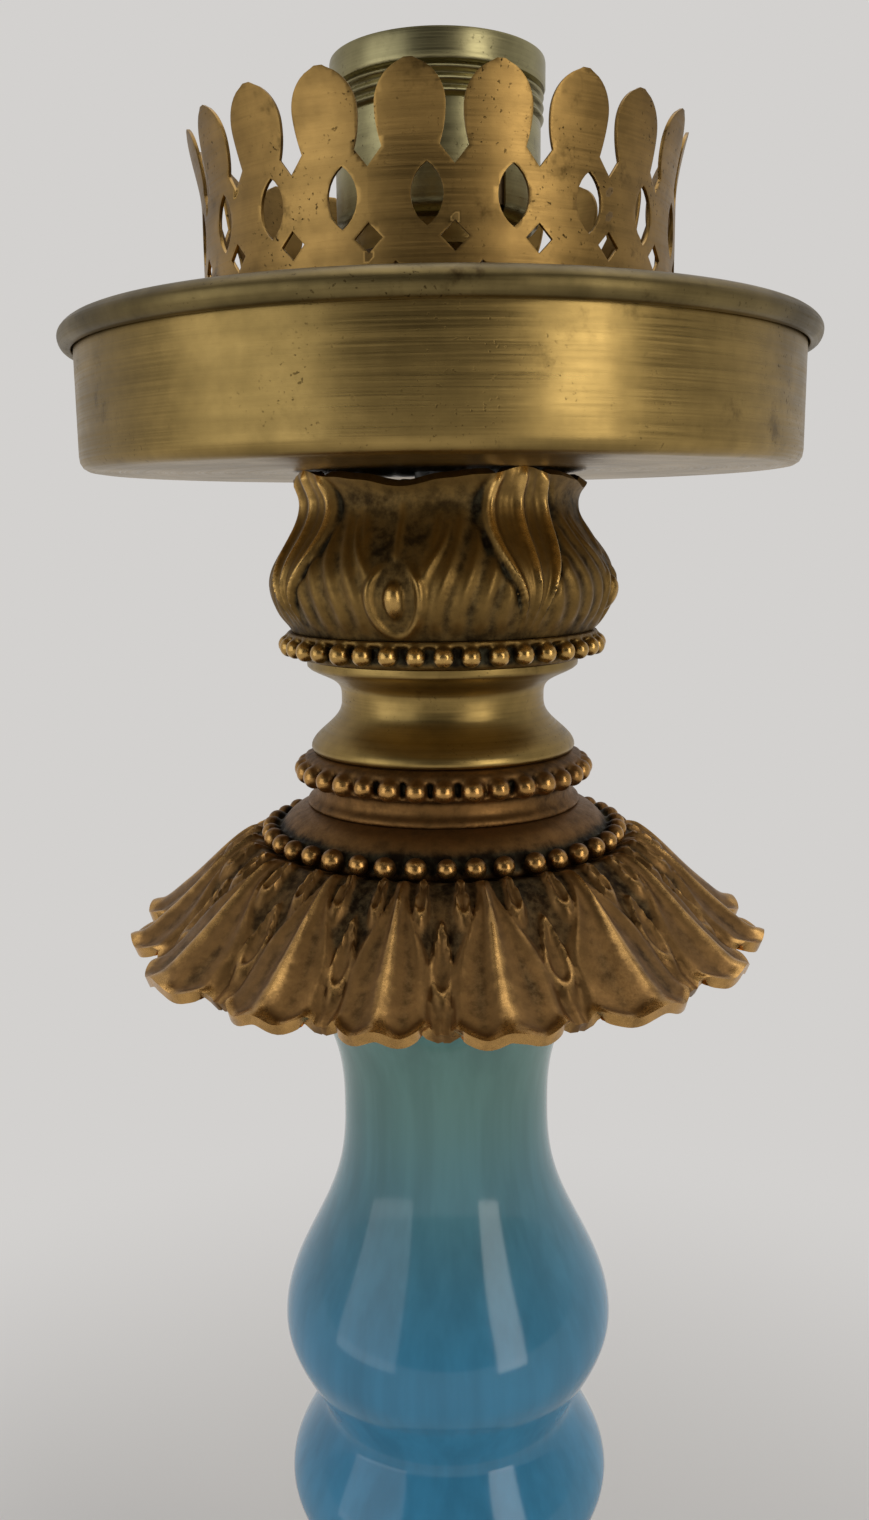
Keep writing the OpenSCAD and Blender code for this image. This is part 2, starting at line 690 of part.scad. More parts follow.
module crown_gallery() {
    heights = [0, lean_z, for (i = [1:4]) lean_z + (crown_h - lean_z) * i / 4];
    color(brass) translate([0, 0, crown_z]) difference() {
        turned(prong_turn - seam_turn) rotate_extrude() polygon([
            [crown_flange_r, 0], for (z = heights) [crown_wall_r(z), z],
            for (i = [len(heights) - 1:-1:1]) [crown_wall_r(heights[i]) - crown_t, heights[i]],
            [crown_r - crown_t, crown_t], [crown_flange_r, crown_t]
        ]);
        for (i = [0:prongs - 1]) {
            prong_angle = prong_turn + 360 * i / prongs;
            notch_angle = prong_angle + 180 / prongs;
            through_wall(notch_angle) notch_outline();
            through_wall(prong_angle + window_turn) translate([0, window_z]) window_outline();
            through_wall(notch_angle) translate([0, diamond_z]) circle(r = diamond_w / 2, $fn = 4);
            through_wall(prong_angle - window_turn) translate([0, pip_z]) circle(r = pip_w / 2, $fn = 4);
        }
        rivet_places() translate([0, 0, -1]) cylinder(r = rivet_r + 0.05, h = crown_t + 2);
    }
}

module gallery_rivets() {
    color(brass) rivet_places() {
        translate([0, 0, lid_z - 0.6]) cylinder(r = rivet_r, h = sheet_t + crown_t + 0.6);
        translate([0, 0, crown_z + crown_t]) cylinder(r1 = rivet_r + 1, r2 = rivet_r, h = 0.9);
        translate([0, 0, lid_z - 0.6]) cylinder(r = rivet_r + 0.7, h = 0.6);
    }
}

module top_washer()
    color("silver") translate([0, 0, crown_z]) disc(washer_r, washer_t, hole_r);

module top_nut()
    color("silver") translate([0, 0, top_nut_z]) hex_nut();

module set_screw_hole(r)
    translate([0, 0, cap_hub_h / 2]) rotate([-90, 0, 0]) cylinder(r = r, h = cap_hub_r + 1);

module socket_cap() {
    floor_z = cap_hub_h + sheet_t;
    color(brass) translate([0, 0, socket_z]) difference() {
        rotate_extrude() polygon([
            [hole_r, 0], [cap_hub_r, 0], [cap_hub_r, cap_hub_h], [cap_flange_r, cap_hub_h],
            [cap_flange_r, floor_z], [cap_wall_r, floor_z], [cap_wall_r, floor_z + cap_wall_h],
            [cap_wall_r - sheet_t, floor_z + cap_wall_h], [cap_wall_r - sheet_t, floor_z], [hole_r, floor_z]
        ]);
        set_screw_hole(1.55);
    }
}

module hub_set_screw() {
    color("silver") translate([0, pipe_r + 0.05, socket_z + cap_hub_h / 2]) rotate([-90, 0, 0]) difference() {
        cylinder(r = 1.5, h = cap_hub_r - pipe_r + 1);
        translate([-1.6, -0.25, cap_hub_r - pipe_r + 0.3]) cube([3.2, 0.5, 2]);
    }
}

// Outer radius of the shell above its curled bottom
function shell_wall_r(z) =
    let (rib_top = shell_h - band_h, rib_bottom = rib_top - ribs * rib_pitch)
    z >= rib_top ? band_r :
    z > rib_bottom ? shell_r + 0.1 - 0.3 * cos(360 * (z - rib_bottom) / rib_pitch) : shell_r;

module socket_shell() {
    rib_top = shell_h - band_h;
    rib_bottom = rib_top - ribs * rib_pitch;
    curl = shell_r - shell_curl_r;
    rim = [for (i = [0:5]) let (a = 90 * i / 5) [shell_curl_r + curl * sin(a), curl * (1 - cos(a))]];
    wall = [
        each rim, [shell_r, rib_bottom],
        for (i = [1:ribs * 6 - 1]) let (z = rib_bottom + rib_pitch * i / 6) [shell_wall_r(z), z],
        [shell_r, rib_top], [band_r, rib_top + 0.3], [band_r, shell_h]
    ];
    color(brass) translate([0, 0, shell_z]) difference() {
        rotate_extrude() polygon([
            each wall,
            for (i = [len(wall) - 1:-1:6]) [wall[i][0] - shell_t, wall[i][1] + (i == len(wall) - 2 ? shell_t : 0)],
            for (i = [5:-1:0]) let (a = 90 * i / 5)
                [shell_curl_r + (curl - shell_t) * sin(a), curl - (curl - shell_t) * cos(a)]
        ]);
        for (half = [0, 180])
            turned(slit_turn + half) translate([shell_curl_r - 1, -slit_w / 2, -1])
                cube([6, slit_w, slit_h + 1]);
    }
}

module insulating_liner() {
    color("burlywood") translate([0, 0, shell_z + 2.2])
        disc(liner_r, shell_h - 4, liner_r - liner_t);
}

module socket_insulator() {
    body_r = liner_r - liner_t - 0.3;
    color("ivory") translate([0, 0, insulator_z]) difference() {
        cylinder(r = body_r, h = insulator_h);
        translate([0, 0, well_floor_z - insulator_z]) cylinder(r = plunger_r + plunger_gap, h = insulator_h);
        for (side = [-1, 1]) translate([side * 9, 0, -1]) cylinder(r = 1.25, h = 5);
    }
}

module terminal_screws() {
    color("silver") for (side = [-1, 1]) translate([side * 9, 0, insulator_z]) {
        translate([0, 0, -2]) cylinder(r = 2.6, h = 2);
        translate([0, 0, -eps]) cylinder(r = 1.2, h = 3.5);
    }
}

module screw_shell() {
    seat_h = 2.8;
    wall = 0.4;
    color("gainsboro") translate([0, 0, screw_z]) rotate_extrude() polygon([
        [plunger_r + 3, 0], [screw_bore_r - 0.8 + wall, 0], [screw_bore_r - 0.8 + wall, seat_h - wall],
        [screw_bore_r + wall, seat_h],
        for (i = [1:11]) let (z = seat_h + (screw_h - seat_h - 1) * i / 12)
            [screw_bore_r + wall + 0.35 * bump(((i % 4) - 2) / 2), z],
        [screw_bore_r + wall, screw_h], [screw_bore_r, screw_h],
        [screw_bore_r, seat_h], [screw_bore_r - 0.8, seat_h - wall], [screw_bore_r - 0.8, wall],
        [plunger_r + 3, wall]
    ]);
}

module contact_plunger() {
    color("gold") translate([0, 0, plunger_z]) rotate_extrude() polygon([
        [0, 0], [plunger_r, 0], [plunger_r, plunger_h - 1],
        for (i = [1:5]) let (a = 90 * i / 5) [plunger_r - 1 + cos(a), plunger_h - 1 + sin(a)],
        [0, plunger_h]
    ]);
}

// Helical wire, swept ring by ring along its own centre line
module contact_spring() {
    coil_r = plunger_r - 0.5 - spring_wire_r;
    steps = spring_turns * 10;
    sides = 6;
    rise = spring_h - 2 * spring_wire_r - 0.1;
    points = [
        for (i = [0:steps], k = [0:sides - 1])
            let (a = 360 * spring_turns * i / steps, b = 360 * k / sides, r = coil_r + spring_wire_r * cos(b))
                [r * cos(a), r * sin(a), spring_wire_r + 0.05 + rise * i / steps + spring_wire_r * sin(b)]
    ];
    sides_faces = [
        for (i = [0:steps - 1], k = [0:sides - 1]) let (m = (k + 1) % sides)
            each [
                [i * sides + k, i * sides + m, (i + 1) * sides + k],
                [(i + 1) * sides + k, i * sides + m, (i + 1) * sides + m]
            ]
    ];
    ends = [[for (k = [sides - 1:-1:0]) k], [for (k = [0:sides - 1]) steps * sides + k]];
    color("silver") translate([0, 0, well_floor_z])
        polyhedron(points, [each sides_faces, each ends], convexity = 6);
}

base_felt();
base_casting();
cord_bushing();
base_weight();
bottom_washer();
bottom_nut();
threaded_pipe();
lower_dome();
lower_leaf_skirt();
lower_beaded_collar();
lower_vase_cap();
lower_gasket();
glass_column();
upper_gasket();
upper_vase_cap();
skirt_dome();
leaf_skirt();
beaded_collar();
neck_spool();
cup_bead_ring();
leaf_cup();
drum_pan();
drum_lid();
crown_gallery();
gallery_rivets();
top_washer();
top_nut();
socket_cap();
hub_set_screw();
socket_shell();
insulating_liner();
socket_insulator();
terminal_screws();
screw_shell();
contact_plunger();
contact_spring();
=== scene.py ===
"""A glass table lamp: blue cased glass between cast leaf skirts, a spun brass drum, a pierced crown."""

import math

import bpy
import numpy as np
from mathutils import Matrix, Vector


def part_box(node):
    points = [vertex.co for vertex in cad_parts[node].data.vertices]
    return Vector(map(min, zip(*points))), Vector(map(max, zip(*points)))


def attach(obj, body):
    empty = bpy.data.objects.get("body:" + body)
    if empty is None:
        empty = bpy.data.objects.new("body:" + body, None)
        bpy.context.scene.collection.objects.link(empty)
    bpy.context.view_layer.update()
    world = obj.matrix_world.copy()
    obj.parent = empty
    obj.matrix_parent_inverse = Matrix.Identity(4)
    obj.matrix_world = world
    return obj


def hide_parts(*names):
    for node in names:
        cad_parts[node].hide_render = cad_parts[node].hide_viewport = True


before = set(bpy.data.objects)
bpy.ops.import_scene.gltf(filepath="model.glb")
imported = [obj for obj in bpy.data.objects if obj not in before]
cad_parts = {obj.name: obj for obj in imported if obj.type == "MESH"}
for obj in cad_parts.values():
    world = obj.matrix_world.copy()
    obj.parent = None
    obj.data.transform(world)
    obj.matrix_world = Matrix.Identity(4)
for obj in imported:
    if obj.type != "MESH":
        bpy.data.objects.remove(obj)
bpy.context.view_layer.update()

bl_info = {
    "name": "Glass table lamp",
    "version": (1, 0, 0),
    "blender": (4, 5, 0),
    "location": "3D View > Sidebar > Table lamp",
    "description": "Builds the visible pieces, finishes and studio of a glass table lamp",
    "category": "Object",
}

MM = 0.001
BODY = "lamp"
HOLE_R = 5.2
DOME_SEAT_UP = 21.6
DOME_CREST_UP = 29.4


def srgb(red, green, blue):
    """A display colour, 0 to 255, as the linear colour that shaders take."""
    def linear(channel):
        share = channel / 255
        return share / 12.92 if share <= 0.04045 else ((share + 0.055) / 1.055) ** 2.4
    return (linear(red), linear(green), linear(blue))


def low(node):
    """Height of a node's underside, in millimetres."""
    return float(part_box(node)[0][2]) / MM


def high(node):
    """Height of a node's top, in millimetres."""
    return float(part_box(node)[1][2]) / MM


def colour(name, note, default):
    return bpy.props.FloatVectorProperty(
        name=name, description=note, subtype="COLOR", size=3, min=0, max=1, default=default)


def size(name, note, default, least, most):
    return bpy.props.FloatProperty(name=name, description=note, default=default, min=least, max=most)


class LampColours(bpy.types.PropertyGroup):
    """Colours of the lamp's finishes."""

    gold: colour("Gold", "Rubbed gold of the spun brass", srgb(158, 132, 78))
    olive: colour("Olive", "Olive brown of the antiqued brass", srgb(112, 93, 52))
    umber: colour("Umber", "Dark stains on the brass", srgb(58, 44, 22))
    plated: colour("Plated brass", "Dull brass of the socket", srgb(168, 160, 118))
    bronze: colour("Bronze", "Body colour of the castings", srgb(118, 92, 48))
    rubbed: colour("Rubbed bronze", "High spots of the castings", srgb(188, 150, 86))
    soot: colour("Soot", "Hollows of the castings", srgb(34, 25, 14))
    verdigris: colour("Verdigris", "Grey green bloom in the hollows", srgb(86, 82, 62))
    neck_glass: colour("Neck glass", "Glass at its necks", srgb(100, 138, 132))
    bulb_glass: colour("Bulb glass", "Glass at its bulbs", srgb(62, 132, 168))
    wall: colour("Wall", "Studio wall and floor", srgb(211, 209, 207))


class LampSizes(bpy.types.PropertyGroup):
    """Sizes that shape the visible pieces, in millimetres."""

    carving: size("Carving", "Depth of the carving on the leaves", 1.5, 0.5, 2.0)
    bead_jitter: size("Bead jitter", "How unevenly the cast beads stand", 0.12, 0.0, 0.4)
    prong_jitter: size("Prong jitter", "How unevenly the prongs are bent", 0.5, 0.0, 1.2)
    sheet: size("Sheet", "Thickness of the crown's sheet", 0.6, 0.4, 0.8)


def colours():
    return bpy.context.scene.lamp_colours


def sizes():
    return bpy.context.scene.lamp_sizes


# Small curves

def smooth(x):
    x = np.clip(x, 0.0, 1.0)
    return x * x * (3 - 2 * x)


def bump(x):
    """A soft hill, 1 at the middle and 0 past 1 on either side."""
    return np.where(np.abs(x) < 1, np.cos(np.pi / 2 * np.clip(x, -1, 1)) ** 2, 0.0)


def ridge(x, width):
    """A narrow rounded crest."""
    return np.exp(-(x / width) ** 2)


def within(angle, pitch):
    """Turn of an angle inside its own pitch, from -0.5 to 0.5."""
    share = angle / pitch
    return share - np.round(share)


def bezier(a, b, c, d, t):
    return a * (1 - t) ** 3 + 3 * b * t * (1 - t) ** 2 + 3 * c * t * t * (1 - t) + d * t ** 3


def rounded(points):
    """An outline of (radius, height, fillet) corners as points, each fillet a short curve."""
    outline = []
    count = len(points)
    for index, (radius, height, fillet) in enumerate(points):
        here = np.array([radius, height], float)
        if not fillet:
            outline.append(here)
            continue
        before = np.array(points[index - 1][:2], float) - here
        after = np.array(points[(index + 1) % count][:2], float) - here
        start = here + before / np.linalg.norm(before) * min(fillet, np.linalg.norm(before) / 2)
        end = here + after / np.linalg.norm(after) * min(fillet, np.linalg.norm(after) / 2)
        for step in (0, 0.25, 0.5, 0.75, 1):
            outline.append(start * (1 - step) ** 2 + 2 * here * step * (1 - step) + end * step ** 2)
    return outline


# Mesh work

def deselect():
    if bpy.context.object and bpy.context.object.mode != "OBJECT":
        bpy.ops.object.mode_set(mode="OBJECT")
    bpy.ops.object.select_all(action="DESELECT")


def hold(piece):
    """Makes a piece the only selected one."""
    deselect()
    piece.select_set(True)
    bpy.context.view_layer.objects.active = piece


def apply(piece, kind, **settings):
    """Adds a modifier with these settings and applies it."""
    hold(piece)
    modifier = piece.modifiers.new(kind.title(), kind)
    for name, value in settings.items():
        setattr(modifier, name, value)
    bpy.ops.object.modifier_apply(modifier=modifier.name)


def points_of(piece):
    mesh = piece.data
    co = np.empty(len(mesh.vertices) * 3)
    mesh.vertices.foreach_get("co", co)
    return co.reshape(-1, 3)


def place_points(piece, points):
    piece.data.vertices.foreach_set("co", np.asarray(points, float).ravel())
    piece.data.update()


def close_up(piece, distance=0.00002):
    """Merges doubled vertices and turns all faces outward."""
    hold(piece)
    bpy.ops.object.mode_set(mode="EDIT")
    bpy.ops.mesh.select_all(action="SELECT")
    bpy.ops.mesh.remove_doubles(threshold=distance)
    bpy.ops.mesh.normals_make_consistent(inside=False)
    bpy.ops.object.mode_set(mode="OBJECT")


def shade(piece, angle=40):
    hold(piece)
    bpy.ops.object.shade_smooth_by_angle(angle=math.radians(angle))


def turn(name, outline, steps=160):
    """Turns a closed outline of (radius, height) points, in millimetres, about the pipe's line."""
    deselect()
    bpy.ops.mesh.primitive_circle_add(vertices=len(outline), radius=1, fill_type="NOTHING")
    piece = bpy.context.object
    piece.name = name
    place_points(piece, [(r * MM, 0, z * MM) for r, z in outline])
    apply(piece, "SCREW", axis="Z", angle=math.tau, steps=steps, render_steps=steps,
          use_merge_vertices=True, merge_threshold=0.00001)
    close_up(piece)
    return piece


def join(pieces, name):
    deselect()
    for piece in pieces:
        piece.select_set(True)
    bpy.context.view_layer.objects.active = pieces[0]
    bpy.ops.object.join()
    joined = bpy.context.object
    joined.name = name
    return joined


def copy_of(piece):
    """A copy of a piece with its own mesh."""
    copied = piece.copy()
    copied.data = piece.data.copy()
    bpy.context.scene.collection.objects.link(copied)
    return copied


def mark(piece, name, values):
    """Keeps one number per vertex, which a finish reads."""
    attribute = piece.data.attributes.get(name) or piece.data.attributes.new(name, "FLOAT", "POINT")
    attribute.data.foreach_set("value", np.asarray(values, np.float32))


def settle(piece, node, finish, angle=40):
    """Shades a finished piece, gives it its finish in one material slot, puts it on the body and hides the
    node it replaces.
    """
    shade(piece, angle)
    piece.data.materials.clear()
    piece.data.materials.append(finish)
    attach(piece, BODY)
    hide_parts(node)


def settle_pair(upper, node, lower_node, finish, turned, angle=40):
    """Settles a casting, and a copy of it turned by radians, on the like node below the glass."""
    lift = (low(lower_node) - low(node)) * MM
    lower = copy_of(upper)
    lower.data.transform(Matrix.Translation((0, 0, lift)) @ Matrix.Rotation(turned, 4, "Z"))
    lower.name = "lower_" + upper.name
    settle(upper, node, finish, angle)
    settle(lower, lower_node, finish, angle)


# Finishes

class Wires:
    """Adds nodes to a tree: a value is either set on a socket or linked to it."""

    def __init__(self, tree):
        self.tree = tree

    def add(self, kind, inputs=None, **settings):
        node = self.tree.nodes.new(kind)
        for name, value in settings.items():
            setattr(node, name, value)
        for name, value in (inputs or {}).items():
            if isinstance(value, bpy.types.NodeSocket):
                self.tree.links.new(value, node.inputs[name])
            else:
                node.inputs[name].default_value = value
        return node

    def math(self, operation, a, b=0.0, clamp=False):
        return self.add("ShaderNodeMath", {0: a, 1: b}, operation=operation, use_clamp=clamp).outputs[0]

    def scaled(self, vector, scale):
        return self.add("ShaderNodeVectorMath", {0: vector, 1: scale}, operation="MULTIPLY").outputs[0]

    def noise(self, vector, scale, detail=3.0, roughness=0.55):
        return self.add("ShaderNodeTexNoise", {
            "Vector": vector, "Scale": scale, "Detail": detail, "Roughness": roughness}).outputs["Fac"]

    def range(self, value, start, end, least=0.0, most=1.0):
        return self.add("ShaderNodeMapRange", {
            "Value": value, "From Min": start, "From Max": end, "To Min": least, "To Max": most},
            interpolation_type="SMOOTHSTEP").outputs[0]

    def blend(self, share, a, b, mode="MIX"):
        node = self.add("ShaderNodeMix", data_type="RGBA", blend_type=mode)
        for socket, value in ((node.inputs[0], share), (node.inputs[6], a), (node.inputs[7], b)):
            if isinstance(value, bpy.types.NodeSocket):
                self.tree.links.new(value, socket)
            else:
                socket.default_value = value if socket == node.inputs[0] else (*value, 1)
        return node.outputs[2]

    def toned(self, base, tone):
        """A colour multiplied by one number."""
        grey = self.add("ShaderNodeCombineXYZ", {0: tone, 1: tone, 2: tone}).outputs[0]
        return self.blend(1.0, base, grey, "MULTIPLY")


def new_group(name, inputs, outputs):
    """A shader node group with named inputs and outputs. Gives its wires, its inputs and its end."""
    group = bpy.data.node_groups.new(name, "ShaderNodeTree")
    for title, kind, default in inputs:
        socket = group.interface.new_socket(title, in_out="INPUT", socket_type=kind)
        if default is not None:
            socket.default_value = default
    for title, kind in outputs:
        group.interface.new_socket(title, in_out="OUTPUT", socket_type=kind)
    wires = Wires(group)
    start = wires.add("NodeGroupInput")
    end = wires.add("NodeGroupOutput")
    return wires, start.outputs, end.inputs, group


def brushed_patina():
    """Brass worn on a lathe: brushing round the axis, olive and brown clouds, dark specks."""
    found = bpy.data.node_groups.get("Brushed patina")
    if found:
        return found
    wires, given, end, group = new_group("Brushed patina", [
        ("Vector", "NodeSocketVector", None),
        ("Gold", "NodeSocketColor", (0.5, 0.4, 0.2, 1)),
        ("Olive", "NodeSocketColor", (0.3, 0.2, 0.1, 1)),
        ("Umber", "NodeSocketColor", (0.1, 0.05, 0.02, 1)),
        ("Tarnish", "NodeSocketFloat", 0.5),
        ("Specks", "NodeSocketFloat", 0.5),
        ("Base roughness", "NodeSocketFloat", 0.3),
    ], [("Color", "NodeSocketColor"), ("Roughness", "NodeSocketFloat"), ("Height", "NodeSocketFloat")])
    vector = given["Vector"]
    parts = wires.add("ShaderNodeSeparateXYZ", {0: vector}).outputs
    flat = wires.add("ShaderNodeCombineXYZ", {0: parts[0], 1: parts[1]}).outputs[0]
    radius = wires.add("ShaderNodeVectorMath", {0: flat}, operation="LENGTH").outputs["Value"]
    drift = wires.math("MULTIPLY", wires.math("ADD", parts[0], parts[1]), 0.012)
    lathe = wires.add("ShaderNodeCombineXYZ", {0: radius, 1: parts[2], 2: drift}).outputs[0]
    brush = wires.noise(lathe, 2600.0, 4.0, 0.7)
    band = wires.noise(lathe, 420.0, 2.0, 0.5)
    cloud = wires.range(wires.noise(vector, 34.0, 5.0, 0.62), 0.36, 0.66)
    mottle = wires.noise(vector, 260.0, 4.0, 0.6)
    stain = wires.range(wires.noise(vector, 95.0, 5.0, 0.7), 0.56, 0.74)
    dust = wires.range(wires.noise(vector, 1500.0, 2.0, 0.5), 0.63, 0.72)
    patch = wires.range(wires.noise(vector, 70.0, 3.0, 0.6), 0.45, 0.65)
    speck = wires.math("MULTIPLY", wires.math("MULTIPLY", dust, patch), given["Specks"])
    worn = wires.math("MULTIPLY", cloud, given["Tarnish"])
    base = wires.blend(worn, given["Gold"], given["Olive"])
    base = wires.blend(wires.math("MULTIPLY", stain, given["Tarnish"]), base, given["Umber"])
    base = wires.blend(speck, base, given["Umber"])
    lines = wires.math("ADD", wires.math("MULTIPLY", brush, 0.5), wires.math("MULTIPLY", band, 0.5))
    tone = wires.range(lines, 0.3, 0.7, 0.82, 1.14)
    tone = wires.math("MULTIPLY", tone, wires.range(mottle, 0.3, 0.7, 0.92, 1.06))
    colour_out = wires.toned(base, tone)
    rough = wires.math("ADD", given["Base roughness"], wires.math("MULTIPLY", worn, 0.1))
    rough = wires.math("ADD", rough, wires.range(brush, 0.3, 0.7, -0.05, 0.07))
    rough = wires.math("ADD", rough, wires.math("MULTIPLY", speck, 0.25), clamp=True)
    height = wires.math("ADD", wires.math("MULTIPLY", brush, 0.6), wires.math("MULTIPLY", mottle, 0.25))
    height = wires.math("SUBTRACT", height, wires.math("MULTIPLY", speck, 1.2))
    wires.tree.links.new(colour_out, end["Color"])
    wires.tree.links.new(rough, end["Roughness"])
    wires.tree.links.new(height, end["Height"])
    return group


def rubbed_relief():
    """A casting that was darkened and rubbed back: soot low, bronze between, bright on the crests."""
    found = bpy.data.node_groups.get("Rubbed relief")
    if found:
        return found
    wires, given, end, group = new_group("Rubbed relief", [
        ("Vector", "NodeSocketVector", None),
        ("Relief", "NodeSocketFloat", 0.5),
        ("Body", "NodeSocketColor", (0.3, 0.2, 0.1, 1)),
        ("Rubbed", "NodeSocketColor", (0.6, 0.4, 0.2, 1)),
        ("Soot", "NodeSocketColor", (0.02, 0.01, 0.01, 1)),
        ("Bloom", "NodeSocketColor", (0.1, 0.1, 0.08, 1)),
        ("Bloom share", "NodeSocketFloat", 0.5),
    ], [("Color", "NodeSocketColor"), ("Roughness", "NodeSocketFloat"), ("Height", "NodeSocketFloat")])
    vector = given["Vector"]
    cloud = wires.noise(vector, 75.0, 5.0, 0.65)
    mottle = wires.noise(vector, 420.0, 4.0, 0.65)
    grain = wires.noise(vector, 2400.0, 3.0, 0.6)
    level = given["Relief"]
    for pattern, share in ((cloud, 0.38), (mottle, 0.3)):
        level = wires.math("ADD", level, wires.math("MULTIPLY", wires.math("SUBTRACT", pattern, 0.5), share))
    bloom_here = wires.math("MULTIPLY", wires.range(mottle, 0.38, 0.62), given["Bloom share"])
    hollow = wires.blend(bloom_here, given["Soot"], given["Bloom"])
    base = wires.blend(wires.range(level, 0.16, 0.44), hollow, given["Body"])
    bright = wires.range(level, 0.6, 0.92)
    base = wires.blend(bright, base, given["Rubbed"])
    tone = wires.range(mottle, 0.25, 0.75, 0.8, 1.15)
    colour_out = wires.toned(base, tone)
    rough = wires.range(level, 0.1, 0.9, 0.62, 0.26)
    rough = wires.math("ADD", rough, wires.range(grain, 0.3, 0.7, -0.05, 0.08), clamp=True)
    height = wires.math("ADD", wires.math("MULTIPLY", grain, 0.4), mottle)
    wires.tree.links.new(colour_out, end["Color"])
    wires.tree.links.new(rough, end["Roughness"])
    wires.tree.links.new(height, end["Height"])
    return group


def new_material(name):
    material = bpy.data.materials.new(name)
    material.use_nodes = True
    material.node_tree.nodes.clear()
    return material, Wires(material.node_tree)


def close_material(wires, shader_inputs, height=None, strength=0.2, distance=0.0001):
    """Ends a material in one Principled shader, with a bump where a height is given."""
    if height is not None:
        shader_inputs["Normal"] = wires.add("ShaderNodeBump", {
            "Height": height, "Strength": strength, "Distance": distance}).outputs[0]
    shader = wires.add("ShaderNodeBsdfPrincipled", shader_inputs)
    wires.add("ShaderNodeOutputMaterial", {"Surface": shader.outputs[0]})


def spun_brass(name, tarnish, specks, roughness, gold=None, olive=None):
    """Spun sheet with lathe brushing and patina."""
    tints = colours()
    material, wires = new_material(name)
    place = wires.add("ShaderNodeTexCoord").outputs["Object"]
    patina = wires.add("ShaderNodeGroup", node_tree=brushed_patina())
    wires.tree.links.new(place, patina.inputs["Vector"])
    mix = {"Gold": gold or tints.gold, "Olive": olive or tints.olive, "Umber": tints.umber}
    for title, tint in mix.items():
        patina.inputs[title].default_value = (*tint, 1)
    for title, value in (("Tarnish", tarnish), ("Specks", specks), ("Base roughness", roughness)):
        patina.inputs[title].default_value = value
    close_material(wires, {
        "Base Color": patina.outputs["Color"], "Metallic": 1.0, "Roughness": patina.outputs["Roughness"]},
        patina.outputs["Height"], 0.25, 0.00006)
    return material


def cast_bronze(name, bloom_share, body=None, rubbed=None):
    """Antiqued casting. It reads the relief number that each carved piece keeps."""
    tints = colours()
    material, wires = new_material(name)
    place = wires.add("ShaderNodeTexCoord").outputs["Object"]
    relief = wires.add("ShaderNodeAttribute", attribute_name="relief").outputs["Fac"]
    worn = wires.add("ShaderNodeGroup", node_tree=rubbed_relief())
    wires.tree.links.new(place, worn.inputs["Vector"])
    wires.tree.links.new(relief, worn.inputs["Relief"])
    for title, tint in (("Body", body or tints.bronze), ("Rubbed", rubbed or tints.rubbed),
                        ("Soot", tints.soot), ("Bloom", tints.verdigris)):
        worn.inputs[title].default_value = (*tint, 1)
    worn.inputs["Bloom share"].default_value = bloom_share
    close_material(wires, {
        "Base Color": worn.outputs["Color"], "Metallic": 0.92, "Roughness": worn.outputs["Roughness"]},
        worn.outputs["Height"], 0.3, 0.00012)
    return material


def cased_glass():
    """Opaque cased glass: teal at the necks, blue in the bulbs, with faint drawn streaks."""
    tints = colours()
    material, wires = new_material("Cased glass")
    place = wires.add("ShaderNodeTexCoord").outputs["Object"]
    parts = wires.add("ShaderNodeSeparateXYZ", {0: place}).outputs
    middle = (low("glass_column") + high("glass_column")) / 2 * MM
    away = wires.math("ABSOLUTE", wires.math("SUBTRACT", parts[2], middle))
    drift = wires.noise(place, 26.0, 2.0, 0.5)
    away = wires.math("ADD", away, wires.math("MULTIPLY", wires.math("SUBTRACT", drift, 0.5), 0.012))
    neck = wires.range(away, 0.034, 0.098)
    base = wires.blend(neck, tints.bulb_glass, tints.neck_glass)
    streak_place = wires.scaled(place, (1.0, 1.0, 0.05))
    streak = wires.noise(streak_place, 150.0, 3.0, 0.5)
    fine = wires.noise(streak_place, 480.0, 2.0, 0.5)
    drawn = wires.math("ADD", wires.math("MULTIPLY", streak, 0.75), wires.math("MULTIPLY", fine, 0.25))
    tone = wires.range(drawn, 0.3, 0.7, 0.86, 1.12)
    base = wires.toned(base, tone)
    ripple = wires.noise(place, 40.0, 1.0, 0.4)
    close_material(wires, {
        "Base Color": base, "Roughness": 0.11, "IOR": 1.5, "Specular IOR Level": 0.4,
        "Subsurface Weight": 0.12, "Subsurface Radius": (0.6, 0.9, 1.0), "Subsurface Scale": 0.006},
        ripple, 0.12, 0.0008)
    return material


def plain_finish(name, tint, metallic, roughness, grain_scale, grain_depth):
    """A simple finish with mottling and fine grain, for the small and hidden parts."""
    material, wires = new_material(name)
    place = wires.add("ShaderNodeTexCoord").outputs["Object"]
    mottle = wires.noise(place, grain_scale * 0.2, 3.0, 0.6)
    grain = wires.noise(place, grain_scale, 3.0, 0.6)
    tone = wires.range(mottle, 0.3, 0.7, 0.78, 1.15)
    base = wires.toned(tint, tone)
    rough = wires.range(grain, 0.25, 0.75, roughness - 0.08, roughness + 0.1)
    close_material(wires, {"Base Color": base, "Metallic": metallic, "Roughness": rough},
                   grain, 0.3, grain_depth)
    return material


# Glass

